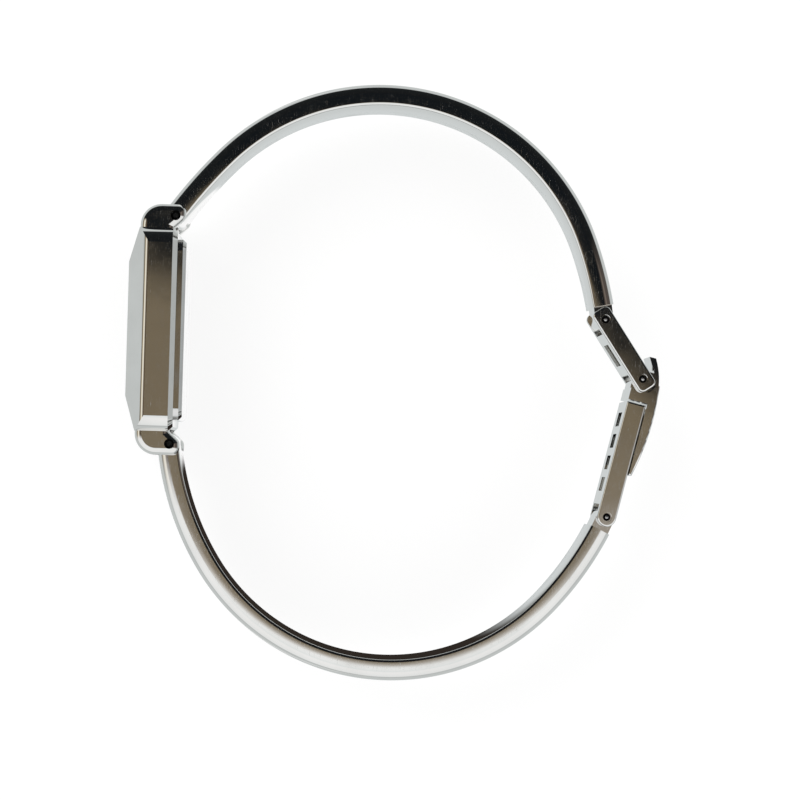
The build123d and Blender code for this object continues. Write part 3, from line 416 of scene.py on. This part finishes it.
@dataclass(frozen=True)
class Moulded:
    """A plastic, rubber, resin or painted finish with a fine texture."""

    name: str
    tint: Colour
    shade: Colour
    roughness: float
    texture_depth: float = 0.003 * MM
    coat: float = 0.0
    texture_scale: float = 9000.0
    cloud_scale: float = 450.0
    smoothest_share: float = 0.85

    def build(self) -> bpy.types.Material:
        """Make the material.

        Returns:
            The finished material.
        """
        shader = Shader(self.name)
        clouds = shader.noise(shader.place, self.cloud_scale)
        grain = shader.noise(shader.place, self.texture_scale, 2.0)
        rough = shader.remap(grain, CLOUD_SPAN, (self.roughness * self.smoothest_share, self.roughness))
        shader.link(shader.mix(clouds, self.tint, self.shade), shader.surface.inputs["Base Color"])
        shader.link(rough, shader.surface.inputs["Roughness"])
        shader.link(shader.relief(grain, self.texture_depth), shader.surface.inputs["Normal"])
        shader.surface.inputs["Coat Weight"].default_value = self.coat
        return shader.material


@dataclass(frozen=True)
class Glass:
    """Clear mineral glass with faint smudges."""

    name: str
    tint: Colour
    roughness: float = 0.01
    smudged_roughness: float = 0.06
    smudge_scale: float = 400.0
    smudge_detail: float = 4.0
    refraction: float = 1.52

    def build(self) -> bpy.types.Material:
        """Make the material.

        Returns:
            The finished material.
        """
        shader = Shader(self.name)
        smudges = shader.noise(shader.place, self.smudge_scale, self.smudge_detail)
        rough = shader.remap(smudges, SMUDGE_SPAN, (self.roughness, self.smudged_roughness))
        shader.link(rough, shader.surface.inputs["Roughness"])
        shader.surface.inputs["Base Color"].default_value = (*self.tint, 1.0)
        shader.surface.inputs["Transmission Weight"].default_value = 1.0
        shader.surface.inputs["IOR"].default_value = self.refraction
        return shader.material


POLISHED = Metal("polished_steel", (0.82, 0.815, 0.80), (0.77, 0.765, 0.75), 0.03, 0.07, Grain.ALL_WAYS,
                 0.00002 * MM, 0.0002 * MM, hairline_share=0.12)
BRIGHT_BACK = Metal("case_back_steel", (0.74, 0.735, 0.73), (0.66, 0.655, 0.65), 0.04, 0.12, Grain.ALONG_Y,
                    0.0001 * MM)
# The pins' steel is darkened with dirt and painted shade through its attribute
GROUND_PIN = Metal("pin_steel", (0.62, 0.62, 0.62), (0.5, 0.5, 0.5), 0.2, 0.32, soiled_and_shaded=True)
SETTING_STEEL = Metal("stem_steel", (0.58, 0.58, 0.59), (0.45, 0.45, 0.46), 0.2, 0.35, Grain.ALONG_Z)
CELL_STEEL = Metal("cell_steel", (0.68, 0.69, 0.7), (0.58, 0.59, 0.6), 0.22, 0.32)
SPRING_STEEL = Metal("strap_steel", (0.62, 0.6, 0.54), (0.52, 0.5, 0.45), 0.22, 0.35, Grain.ALONG_Y)
NICKEL = Metal("plate_nickel", (0.72, 0.69, 0.62), (0.64, 0.61, 0.55), 0.26, 0.4)
COPPER = Metal("coil_copper", (0.72, 0.34, 0.17), (0.52, 0.2, 0.09), 0.25, 0.4, Grain.ALONG_Z, 0.004 * MM)
SOFT_IRON = Metal("core_iron", (0.5, 0.5, 0.51), (0.4, 0.4, 0.42), 0.35, 0.5)
GEAR_BRASS = Metal("gear_brass", (0.8, 0.6, 0.27), (0.7, 0.5, 0.2), 0.16, 0.3)
BATONS = Metal("dial_batons", (0.74, 0.74, 0.75), (0.62, 0.62, 0.63), 0.08, 0.18)
DIAL = Moulded("dial_paint", (0.83, 0.83, 0.81), (0.76, 0.76, 0.74), 0.4, 0.001 * MM)
HANDS = Moulded("hand_steel", (0.02, 0.022, 0.03), (0.035, 0.037, 0.045), 0.22, 0.0005 * MM, coat=0.5)
RUBBER = Moulded("seal_rubber", (0.02, 0.02, 0.021), (0.035, 0.035, 0.036), 0.75)
HOLDER = Moulded("holder_plastic", (0.82, 0.81, 0.77), (0.76, 0.75, 0.7), 0.5)
LAMINATE = Moulded("board_laminate", (0.03, 0.2, 0.07), (0.02, 0.14, 0.05), 0.3, coat=0.4)
RESIN = Moulded("chip_resin", (0.012, 0.012, 0.013), (0.02, 0.02, 0.02), 0.25)
CRYSTAL = Glass("crystal_glass", (0.97, 0.985, 0.98))
FINISHES = (POLISHED, BRIGHT_BACK, GROUND_PIN, SETTING_STEEL, CELL_STEEL, SPRING_STEEL, NICKEL, COPPER,
            SOFT_IRON, GEAR_BRASS, BATONS, DIAL, HANDS, RUBBER, HOLDER, LAMINATE, RESIN, CRYSTAL)


@dataclass
class Wardrobe:
    """Every finish by the name of its slot in the record."""

    record: dict
    nodes: dict
    made: dict = field(default_factory=dict)

    def finish(self, slot: str) -> bpy.types.Material:
        """The material of one slot, made when it is first asked for.

        Args:
            slot: the slot's name.

        Returns:
            The slot's material.
        """
        if slot not in self.made:
            self.made[slot] = next(f for f in FINISHES if f.name == slot).build()
        return self.made[slot]

    def dress_all(self) -> None:
        """Give every carried-over node the finish that the record names."""
        for part in self.record["subparts"]:
            mesh = self.nodes[part["node"]].data
            mesh.materials.clear()
            mesh.materials.append(self.finish(part["material_slot"]))
            LOG.info("%s dressed in %s", part["node"], part["material_slot"])


@dataclass
class Workshop:
    """Calls that every modelled piece needs.

    Pieces are modelled in millimetres and brought to metres at the end.
    """

    wardrobe: Wardrobe

    @staticmethod
    def clear() -> None:
        """Leave edit mode with nothing selected."""
        if bpy.context.object and bpy.context.object.mode != "OBJECT":
            bpy.ops.object.mode_set(mode="OBJECT")
        bpy.ops.object.select_all(action="DESELECT")

    @staticmethod
    def pick(piece: bpy.types.Object, kind: str, wanted: Callable) -> None:
        """Select the faces, edges or corners of a piece that a test picks, and stay in edit mode.

        Args:
            piece: the piece, which is the active one.
            kind: FACE, EDGE or VERT.
            wanted: the test, which gets a face, an edge or a vertex.
        """
        bpy.ops.object.mode_set(mode="EDIT")
        bpy.ops.mesh.select_mode(type=kind)
        bpy.ops.mesh.select_all(action="DESELECT")
        shape = bmesh.from_edit_mesh(piece.data)
        for element in {"FACE": shape.faces, "EDGE": shape.edges, "VERT": shape.verts}[kind]:
            if wanted(element):
                element.select_set(True)
        shape.select_flush_mode()
        bmesh.update_edit_mesh(piece.data)

    @staticmethod
    def combine(piece: bpy.types.Object, tool: bpy.types.Object, operation: str) -> None:
        """Join a second piece to the first or cut it out, and drop the second.

        Args:
            piece: the piece that stays.
            tool: the piece that is used up.
            operation: UNION or DIFFERENCE.
        """
        Workshop.clear()
        bpy.context.view_layer.objects.active = piece
        piece.select_set(True)
        change = piece.modifiers.new("combine", "BOOLEAN")
        change.operation, change.object, change.solver = operation, tool, "EXACT"
        bpy.ops.object.modifier_apply(modifier=change.name)
        bpy.data.objects.remove(tool, do_unlink=True)

    @staticmethod
    def rod(place: Pair, radius: float, half_length: float, sides: int = 64) -> bpy.types.Object:
        """A plain rod along the wrist axis, to be shaped or used as a cutter.

        Args:
            place: where its axis lies.
            radius: its radius.
            half_length: half its length.
            sides: how many sides its circle has.

        Returns:
            The rod.
        """
        Workshop.clear()
        bpy.ops.mesh.primitive_cylinder_add(vertices=sides, radius=radius, depth=2 * half_length,
                                            location=(*place, 0.0))
        bpy.ops.object.transform_apply(location=True)
        return bpy.context.object

    def deliver(self, piece: bpy.types.Object, name: str, node: str, body: str, finish: str) -> None:
        """Bring a piece to size, smooth it, dress it and let it stand for its node.

        Args:
            piece: the piece, in millimetres.
            name: its name.
            node: the node that it stands for.
            body: the body that carries it.
            finish: its slot in the record.
        """
        self.clear()
        bpy.context.view_layer.objects.active = piece
        piece.select_set(True)
        piece.scale = (MM, MM, MM)
        bpy.ops.object.transform_apply(location=True, rotation=True, scale=True)
        bpy.ops.object.shade_smooth_by_angle(angle=SMOOTH_ANGLE)
        piece.name = name
        piece.data.materials.clear()
        piece.data.materials.append(self.wardrobe.finish(finish))
        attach(piece, body)
        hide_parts(node)
        LOG.info("%s modelled with %d faces", name, len(piece.data.polygons))


@dataclass
class BangleHalf:
    """One curved half, in millimetres.

    It is a bar with faintly crowned flanks, a round end at the lug pin and a tongue for the clasp.
    """

    node: str
    lug_pin: Pair
    heading: float
    hand: int
    radii: Triple
    turns: Triple
    half_width: float
    half_thickness: float = 1.1
    pin_offset: float = 0.2
    outer_edge: float = 1.0
    inner_edge: float = 0.2
    knuckle_edge: float = 0.35
    edge_steps: int = 8
    crown: float = 0.012
    shoulder: float = 1.5
    tongue_half_width: float = 4.3
    tongue_half_thickness: float = 0.95
    lug_bore: float = 0.55
    clasp_bore: float = 0.43
    step_length: float = 0.55

    def left_of(self, spot: Vector, heading: float, distance: float) -> Vector:
        """The point to the left of a spot, seen along a heading."""
        return spot + distance * Vector((-math.sin(heading), math.cos(heading), 0.0))

    def section(self) -> bpy.types.Object:
        """The bar's section: a face with large roundings at its outer corners and small ones inside.

        Returns:
            The face, with its outer side towards +X and its width along Z.
        """
        Workshop.clear()
        bpy.ops.mesh.primitive_plane_add(size=1.0, location=(0.0, 0.0, 0.0))
        piece = bpy.context.object
        for vertex in piece.data.vertices:
            vertex.co = (2 * vertex.co.x * self.half_thickness, 0.0, 2 * vertex.co.y * self.half_width)
        Workshop.pick(piece, "VERT", lambda v: v.co.x > 0)
        bpy.ops.mesh.bevel(offset=self.outer_edge, segments=2 * self.edge_steps, affect="VERTICES")
        Workshop.pick(piece, "VERT", lambda v: v.co.x < -self.half_thickness + WELD)
        bpy.ops.mesh.bevel(offset=self.inner_edge, segments=self.edge_steps // 2, affect="VERTICES")
        flat = self.half_width - self.inner_edge / self.edge_steps
        Workshop.pick(piece, "EDGE", lambda e: all(abs(v.co.z) > flat for v in e.verts)
                      and abs(e.verts[0].co.x - e.verts[1].co.x) > self.half_thickness / 2)
        bpy.ops.mesh.subdivide(number_cuts=self.edge_steps)
        bpy.ops.object.mode_set(mode="OBJECT")
        for vertex in piece.data.vertices:
            inset = self.crown * vertex.co.x ** 2
            if abs(vertex.co.z) > flat - self.outer_edge:
                vertex.co.z -= math.copysign(inset, vertex.co.z)
        return piece

    def sweep(self, piece: bpy.types.Object, spot: Vector, heading: float) -> tuple[Vector, float]:
        """Carry the section along the three arcs and close both ends.

        Args:
            piece: the section.
            spot: the start of the bar's middle line.
            heading: the direction in which the bar sets out.

        Returns:
            Where the bar's middle line ends and its heading there.
        """
        for vertex in piece.data.vertices:
            place = self.left_of(spot, heading, -self.hand * vertex.co.x)
            vertex.co = (place.x, place.y, vertex.co.z)
        bpy.ops.object.mode_set(mode="EDIT")
        bpy.ops.mesh.select_mode(type="FACE")
        bpy.ops.mesh.select_all(action="SELECT")
        for k, (radius, degrees) in enumerate(zip(self.radii, self.turns)):
            turn = math.radians(degrees)
            if k == len(self.radii) - 1:
                turn -= self.shoulder / radius
            centre = self.left_of(spot, heading, self.hand * radius)
            steps = max(self.edge_steps, round(radius * turn / self.step_length))
            bpy.ops.mesh.spin(steps=steps, angle=SPIN_SENSE * self.hand * turn, center=centre,
                              axis=(0.0, 0.0, 1.0))
            heading += self.hand * turn
            spot = self.left_of(centre, heading, -self.hand * radius)
        bpy.ops.mesh.select_all(action="SELECT")
        bpy.ops.mesh.normals_make_consistent(inside=False)
        bpy.ops.object.mode_set(mode="OBJECT")
        return spot, heading

    def knuckle(self, spot: Vector) -> bpy.types.Object:
        """The round end that turns on the lug pin.

        Args:
            spot: the start of the bar's middle line.

        Returns:
            The knuckle.
        """
        piece = Workshop.rod((spot.x, spot.y), self.half_thickness, self.half_width - self.inner_edge)
        Workshop.pick(piece, "EDGE", lambda e: abs(e.verts[0].co.z - e.verts[1].co.z) < WELD)
        bpy.ops.mesh.bevel(offset=self.knuckle_edge, segments=self.edge_steps, affect="EDGES")
        bpy.ops.object.mode_set(mode="OBJECT")
        return piece

    def tongue(self, pin: Vector, heading: float) -> bpy.types.Object:
        """The narrow tongue round the clasp's pin.

        Args:
            pin: the middle of the clasp's pin.
            heading: the bar's heading at its end.

        Returns:
            The tongue.
        """
        Workshop.clear()
        bpy.ops.mesh.primitive_cube_add(size=1.0, location=(0.0, 0.0, 0.0))
        piece = bpy.context.object
        back, front = -2 * self.shoulder, self.tongue_half_thickness
        for vertex in piece.data.vertices:
            side = vertex.co * 2
            vertex.co = (front if side.x > 0 else back, side.y * self.tongue_half_thickness,
                         side.z * self.tongue_half_width)
        Workshop.pick(piece, "EDGE", lambda e: all(v.co.x > 0 for v in e.verts)
                      and abs(e.verts[0].co.y - e.verts[1].co.y) < WELD)
        bpy.ops.mesh.bevel(offset=self.tongue_half_thickness - WELD, segments=2 * self.edge_steps,
                           affect="EDGES")
        bpy.ops.object.mode_set(mode="OBJECT")
        along = Vector((math.cos(heading), math.sin(heading), 0.0))
        for vertex in piece.data.vertices:
            place = self.left_of(pin + vertex.co.x * along, heading, vertex.co.y)
            vertex.co = (place.x, place.y, vertex.co.z)
        return piece

    def build(self, workshop: Workshop, finish: str) -> None:
        """Model the half, bore it and hand it over.

        Args:
            workshop: the shared calls.
            finish: the slot of its finish.
        """
        heading = math.radians(self.heading)
        spot = self.left_of(Vector((*self.lug_pin, 0.0)), heading, -self.hand * self.pin_offset)
        bar = self.section()
        end, end_heading = self.sweep(bar, spot, heading)
        Workshop.combine(bar, self.knuckle(spot), "UNION")
        last = self.radii[-1]
        turn = self.hand * self.shoulder / last
        centre = self.left_of(end, end_heading, self.hand * last)
        pin = self.left_of(centre, end_heading + turn, -self.hand * last)
        Workshop.combine(bar, self.tongue(pin, end_heading + turn), "UNION")
        for place, bore in ((self.lug_pin, self.lug_bore), ((pin.x, pin.y), self.clasp_bore)):
            Workshop.combine(bar, Workshop.rod(place, bore, 2 * self.half_width), "DIFFERENCE")
        workshop.deliver(bar, f"{self.node}_polished", self.node, self.node, finish)


@dataclass
class Pins:
    """Hinge pins whose ends stand back in their holes, with dirt and painted shade round them, in
    millimetres.
    """

    node: str
    body: str
    places: list[Pair]
    radius: float
    shoulder: float
    collar: float
    nose: float
    nose_rise: float
    wall_share: float = 0.7
    taper_share: float = 0.05
    rim_share: float = 0.99
    dome_steps: int = 4
    # How much of the darkening, dirt and painted shade, is kept off the nose
    unmarked_share: float = 0.88

    def turn_one(self, place: Pair) -> bpy.types.Object:
        """One pin: a shank, a thin collar at each end and a domed nose on it, darkened with dirt and painted
        shade round the nose.

        Args:
            place: where the pin's axis lies.

        Returns:
            The pin.
        """
        piece = Workshop.rod(place, self.radius, self.shoulder)
        Workshop.pick(piece, "FACE", lambda f: abs(f.normal.z) > FACING_SHARE)
        widen = self.radius - self.collar
        if abs(widen) > WELD:
            bpy.ops.mesh.inset(thickness=widen, depth=0.0, use_individual=True)
        bpy.ops.mesh.inset(thickness=self.collar - self.nose, depth=0.0, use_individual=True)
        bpy.ops.mesh.inset(thickness=self.nose * self.taper_share, depth=self.nose_rise * self.wall_share,
                           use_individual=True)
        step = self.nose / (self.dome_steps + 1)
        dome = self.nose_rise * (1 - self.wall_share) / sum(range(self.dome_steps + 1))
        for k in range(self.dome_steps):
            bpy.ops.mesh.inset(thickness=step, depth=dome * (self.dome_steps - k), use_individual=True)
        bpy.ops.object.mode_set(mode="OBJECT")
        # Dirt and painted shade: the shank, the collar and the rim round the nose are darkened, and the nose
        # in part
        soil = piece.data.attributes.new(SOIL_AND_SHADE, "FLOAT", "POINT")
        for vertex, value in zip(piece.data.vertices, soil.data):
            distance = math.hypot(vertex.co.x - place[0], vertex.co.y - place[1])
            low = abs(vertex.co.z) < self.shoulder + self.nose_rise / 2
            value.value = 1.0 if low or distance > self.nose * self.rim_share else 1.0 - self.unmarked_share
        return piece

    def build(self, workshop: Workshop, finish: str) -> None:
        """Model every pin of the node as one piece.

        Args:
            workshop: the shared calls.
            finish: the slot of their finish.
        """
        made = [self.turn_one(place) for place in self.places]
        Workshop.clear()
        for piece in made:
            piece.select_set(True)
        bpy.context.view_layer.objects.active = made[0]
        if len(made) > 1:
            bpy.ops.object.join()
        workshop.deliver(made[0], f"{self.node}_turned", self.node, self.body, finish)


@dataclass(frozen=True)
class Lamp:
    """A soft square lamp: where it hangs, its side and its power in watts."""

    name: str
    spot: Triple
    size: float
    power: float


@dataclass
class Studio:
    """The white ground, the light, what the polished steel mirrors, and the camera."""

    frame_low: Vector
    camera_spot: Vector = field(default_factory=lambda: Vector((15.60, -13.95, 437.0)) * MM)
    aim: Vector = field(default_factory=lambda: Vector((22.60, -6.65, 8.0)) * MM)
    roll: float = math.radians(1.62)
    picture_width: float = 800.0
    focal_pixels: float = 4135.0
    sensor_width: float = 36.0
    clip: Pair = (0.01, 10.0)
    ground_span: float = 4.0
    ground_glow: float = 0.8
    ground_roughness: float = 0.7
    # Where the ground's painted reflection has its white patch and its dark area
    painted_white_middle: float = 1.2 * MM
    painted_white_edge: Pair = (1.2 * MM, 2.2 * MM)
    painted_dark_edge: Pair = (-14.5 * MM, -12.5 * MM)
    ring_middle: Pair = (21.6 * MM, -4.8 * MM)
    ring_edge: Pair = (31.0 * MM, 33.0 * MM)
    clasp_edge: Pair = (31.0 * MM, 38.0 * MM)
    lamps: tuple[Lamp, ...] = (Lamp("key", (-0.35, 0.35, 0.6), 0.5, 3.0),
                               Lamp("fill", (0.45, -0.3, 0.5), 0.6, 1.5))

    def ground(self) -> None:
        """Lay a pale ground that shows white, keeps a little of the object's shadow and gives the steel a
        painted reflection.
        """
        bpy.ops.mesh.primitive_plane_add(size=self.ground_span, location=(0, 0, self.frame_low.z))
        ground = bpy.context.object
        ground.name = "ground"
        shader = Shader("ground_white")
        shader.surface.inputs["Base Color"].default_value = (*GROUND_PAINT, 1.0)
        shader.surface.inputs["Roughness"].default_value = self.ground_roughness
        path = shader.nodes.new("ShaderNodeLightPath")
        glow = shader.nodes.new("ShaderNodeEmission")
        colour = shader.mix(path.outputs["Is Camera Ray"], self.painted_table_reflection(shader), WHITE)
        shader.link(colour, glow.inputs["Color"])
        # Glossy and transmission rays see only the painted reflection colour
        seen = shader.sum_up("MULTIPLY", path.outputs["Is Camera Ray"], self.ground_glow)
        for other in ("Is Glossy Ray", "Is Transmission Ray"):
            seen = shader.sum_up("MAXIMUM", seen, path.outputs[other])
        mix = shader.nodes.new("ShaderNodeMixShader")
        shader.link(seen, mix.inputs["Fac"])
        shader.link(shader.surface.outputs["BSDF"], mix.inputs[1])
        shader.link(glow.outputs["Emission"], mix.inputs[2])
        shader.link(mix.outputs["Shader"], shader.nodes["Material Output"].inputs["Surface"])
        ground.data.materials.append(shader.material)
        ground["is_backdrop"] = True

    def painted_table_reflection(self, shader: Shader) -> bpy.types.NodeSocket:
        """The painted reflection that the steel mirrors of the table.

        It is grey, with a painted white patch under the case back and a painted dark area inside the bangle's
        lower left part, which the camera does not see.

        Args:
            shader: the ground's material.

        Returns:
            The mirrored colour.
        """
        split = shader.nodes.new("ShaderNodeSeparateXYZ")
        shader.link(shader.place, split.inputs["Vector"])
        x, y = split.outputs["X"], split.outputs["Y"]
        # Painted white reflection patch under the case back
        painted_white = shader.remap(shader.sum_up("ABSOLUTE", shader.sum_up("SUBTRACT", x, self.painted_white_middle)),
                            self.painted_white_edge, (1.0, 0.0), smooth=True)
        grey = shader.mix(painted_white, GROUND_MIRRORED, WHITE)
        # Painted dark reflection area inside the bangle's lower left part
        middle = shader.nodes.new("ShaderNodeVectorMath")
        middle.operation = "DISTANCE"
        middle.inputs[1].default_value = (*self.ring_middle, self.frame_low.z)
        shader.link(shader.place, middle.inputs[0])
        inside = shader.remap(middle.outputs["Value"], self.ring_edge, (1.0, 0.0), smooth=True)
        low = shader.sum_up("MULTIPLY", shader.remap(y, self.painted_dark_edge, (1.0, 0.0), smooth=True),
                            shader.remap(x, self.clasp_edge, (1.0, 0.0), smooth=True))
        return shader.mix(shader.sum_up("MULTIPLY", inside, low), grey, PAINTED_DARK_REFLECTION)

    def sky(self) -> None:
        """Make white surroundings for the light, and the darker room that the polished steel mirrors."""
        world = bpy.data.worlds.new("studio")
        world.use_nodes = True
        bpy.context.scene.world = world
        graph = Graph(world.node_tree)
        plain = graph.nodes["Background"]
        plain.inputs["Color"].default_value = (*WHITE, 1.0)
        plain.inputs["Strength"].default_value = 1.0
        place = graph.nodes.new("ShaderNodeTexCoord").outputs["Generated"]
        split = graph.nodes.new("ShaderNodeSeparateXYZ")
        graph.link(place, split.inputs["Vector"])
        x, y, z = (split.outputs[k] for k in range(3))
        mirrored = graph.nodes.new("ShaderNodeBackground")
        lean = graph.sum_up("ABSOLUTE", graph.sum_up("SUBTRACT", x, LEAN_MIDDLE))
        near = graph.sum_up("MULTIPLY", graph.remap(z, TENT_EDGE, WHOLE, smooth=True),
                            graph.remap(lean, LEAN_EDGE, (1.0, 0.0), smooth=True))
        graph.link(graph.mix(near, self.tent(graph, x, y, z), self.overhead(graph, place, x, y)),
                   mirrored.inputs["Color"])
        path = graph.nodes.new("ShaderNodeLightPath")
        mix = graph.nodes.new("ShaderNodeMixShader")
        graph.link(path.outputs["Is Glossy Ray"], mix.inputs["Fac"])
        graph.link(plain.outputs["Background"], mix.inputs[1])
        graph.link(mirrored.outputs["Background"], mix.inputs[2])
        graph.link(mix.outputs["Shader"], graph.nodes["World Output"].inputs["Surface"])

    @staticmethod
    def overhead(graph: Graph, place: bpy.types.NodeSocket, x: bpy.types.NodeSocket,
                 y: bpy.types.NodeSocket) -> bpy.types.NodeSocket:
        """What hangs over the flank: white towards 12 o'clock, brown over it and black beyond.

        Args:
            graph: the world's nodes.
            place: the direction.
            x: its part away from the dial.
            y: its part towards 6 o'clock.

        Returns:
            The colour seen overhead.
        """
        ripple = graph.remap(graph.noise(place, RIPPLE_SCALE, 2.0), CLOUD_SPAN, RIPPLE)
        along = graph.sum_up("ADD", y, ripple)
        room = graph.bands(along, OVERHEAD_SPAN, OVERHEAD_BANDS)
        slant = graph.sum_up("ADD", along, graph.sum_up("MULTIPLY", x, SHADE_SLANT))
        start, steepness = SHADE_BEYOND
        beyond = graph.sum_up("MAXIMUM", graph.sum_up("SUBTRACT", x, start), 0.0)
        bent = graph.sum_up("ADD", slant, graph.sum_up("MULTIPLY", beyond, steepness))
        return graph.mix(graph.remap(bent, SHADE_EDGE, WHOLE, smooth=True), room, OVERHEAD_SHADE)

    @staticmethod
    def tent(graph: Graph, x: bpy.types.NodeSocket, y: bpy.types.NodeSocket,
             z: bpy.types.NodeSocket) -> bpy.types.NodeSocket:
        """The room round the object: dark towards 6 o'clock, white towards 12 and banded at the sides.

        Args:
            graph: the world's nodes.
            x: the direction's part away from the dial.
            y: its part towards 6 o'clock.
            z: its part upwards.

        Returns:
            The colour seen around.
        """
        flat_length = graph.sum_up("POWER", graph.sum_up("SUBTRACT", 1.0, graph.sum_up("POWER", z, 2.0)), 0.5)
        facing = graph.sum_up("DIVIDE", y, graph.sum_up("MAXIMUM", flat_length, LEAST_LENGTH))
        dial_side, back_side, white, dark = (graph.bands(z, TENT_SPAN, bands) for bands in (
            DIAL_BANDS, BACK_BANDS, WHITE_BANDS, DARK_BANDS))
        sides = graph.mix(graph.remap(x, SIDES_EDGE, WHOLE, smooth=True), dial_side, back_side)
        tent = graph.mix(graph.remap(facing, WHITE_EDGE, (1.0, 0.0), smooth=True), sides, white)
        return graph.mix(graph.remap(facing, DARK_EDGE, WHOLE, smooth=True), tent, dark)

    def hang(self, lamp: Lamp) -> None:
        """Hang a lamp, aimed at the object and unseen in the steel.

        Args:
            lamp: the lamp.
        """
        light = bpy.data.lights.new(lamp.name, "AREA")
        light.size = lamp.size
        light.energy = lamp.power
        hung = bpy.data.objects.new(lamp.name, light)
        bpy.context.scene.collection.objects.link(hung)
        hung.location = lamp.spot
        hung.visible_glossy = False
        hung.rotation_mode = "QUATERNION"
        hung.rotation_quaternion = (self.aim - Vector(lamp.spot)).to_track_quat("-Z", "Y")

    def camera(self) -> None:
        """Set up the photograph's camera: above the flank, a little off the middle, rolled with the case."""
        camera = bpy.data.cameras.new("camera")
        camera.sensor_width = self.sensor_width
        camera.lens = self.sensor_width * self.focal_pixels / self.picture_width
        camera.clip_start, camera.clip_end = self.clip
        view = bpy.data.objects.new("camera", camera)
        bpy.context.scene.collection.objects.link(view)
        back = (self.camera_spot - self.aim).normalized()
        up = Vector((-math.sin(self.roll), math.cos(self.roll), 0.0))
        right = up.cross(back).normalized()
        up = back.cross(right)
        matrix = view.matrix_world.copy()
        for k in range(3):
            matrix[k][0], matrix[k][1], matrix[k][2] = right[k], up[k], back[k]
            matrix[k][3] = self.camera_spot[k]
        view.matrix_world = matrix
        bpy.context.scene.camera = view

    def build(self) -> None:
        """Set the whole studio up."""
        self.ground()
        self.sky()
        for lamp in self.lamps:
            self.hang(lamp)
        self.camera()
        LOG.info("studio built")


@dataclass
class BangleWatch:
    """The whole watch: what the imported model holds, dressed, and the pieces modelled on top of it."""

    frame: dict
    polished: str = POLISHED.name
    pin_finish: str = GROUND_PIN.name
    upper_heading: float = 54.95
    upper_radii: Triple = (50.7, 22.97, 39.8)
    upper_turns: Triple = (9.27, 114.9, 11.93)
    lower_heading: float = -83.42
    lower_radii: Triple = (29.7, 22.46, 33.5)
    lower_turns: Triple = (25.5, 105.2, 19.2)

    def joint_place(self, name: str) -> Pair:
        """Where a hinge's axis crosses the middle plane, in millimetres.

        Args:
            name: the joint's name.

        Returns:
            The place.
        """
        joint = next(j for j in self.frame["record"]["behaviour"]["joints"] if j["name"] == name)
        return joint["pos_m"][0] / MM, joint["pos_m"][1] / MM

    def halves(self, workshop: Workshop) -> None:
        """Model the two bangle halves.

        Args:
            workshop: the shared calls.
        """
        for node, heading, hand, radii, turns in (
                ("upper_half", self.upper_heading, -1, self.upper_radii, self.upper_turns),
                ("lower_half", self.lower_heading, 1, self.lower_radii, self.lower_turns)):
            lug_pin, half_width = self.joint_place(f"{node}_hinge"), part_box(node)[1][2] / MM
            BangleHalf(node, lug_pin, heading, hand, radii, turns, half_width).build(workshop, self.polished)

    def pins(self, workshop: Workshop) -> None:
        """Model the clasp's three pins and the two lug pins.

        Args:
            workshop: the shared calls.
        """
        for node, body, hinge in (("link_pin", "folding_link", "link_hinge"),
                                  ("cover_pin", "folding_link", "cover_hinge"),
                                  ("ladder_pin", "ladder", "ladder_hinge")):
            Pins(node, body, [self.joint_place(hinge)], radius=0.4, shoulder=5.66, collar=0.51, nose=0.29,
                 nose_rise=0.2).build(workshop, self.pin_finish)
        # The lug pins are darkened nearly all over: a painted shade for the depth of their holes
        lugs = [self.joint_place("upper_half_hinge"), self.joint_place("lower_half_hinge")]
        Pins("lug_pins", "case", lugs, radius=0.515, shoulder=7.0, collar=0.515, nose=0.3, nose_rise=0.15,
             unmarked_share=0.06).build(workshop, self.pin_finish)

    def build(self) -> None:
        """Dress the carried-over nodes and model the rest."""
        wardrobe = Wardrobe(self.frame["record"], self.frame["nodes"])
        wardrobe.dress_all()
        workshop = Workshop(wardrobe)
        self.halves(workshop)
        self.pins(workshop)


def main() -> tuple[Vector, Vector]:
    """Dress the watch, model its finer pieces and set the studio up.

    Returns:
        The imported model's box.
    """
    logging.basicConfig(level=logging.INFO)
    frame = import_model()
    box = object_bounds()
    bpy.ops.object.select_all(action="DESELECT")
    BangleWatch(frame).build()
    Workshop.clear()
    Studio(box[0]).build()
    bpy.context.scene.view_settings.view_transform = "Standard"
    return box


if __name__ == "__main__":
    main()
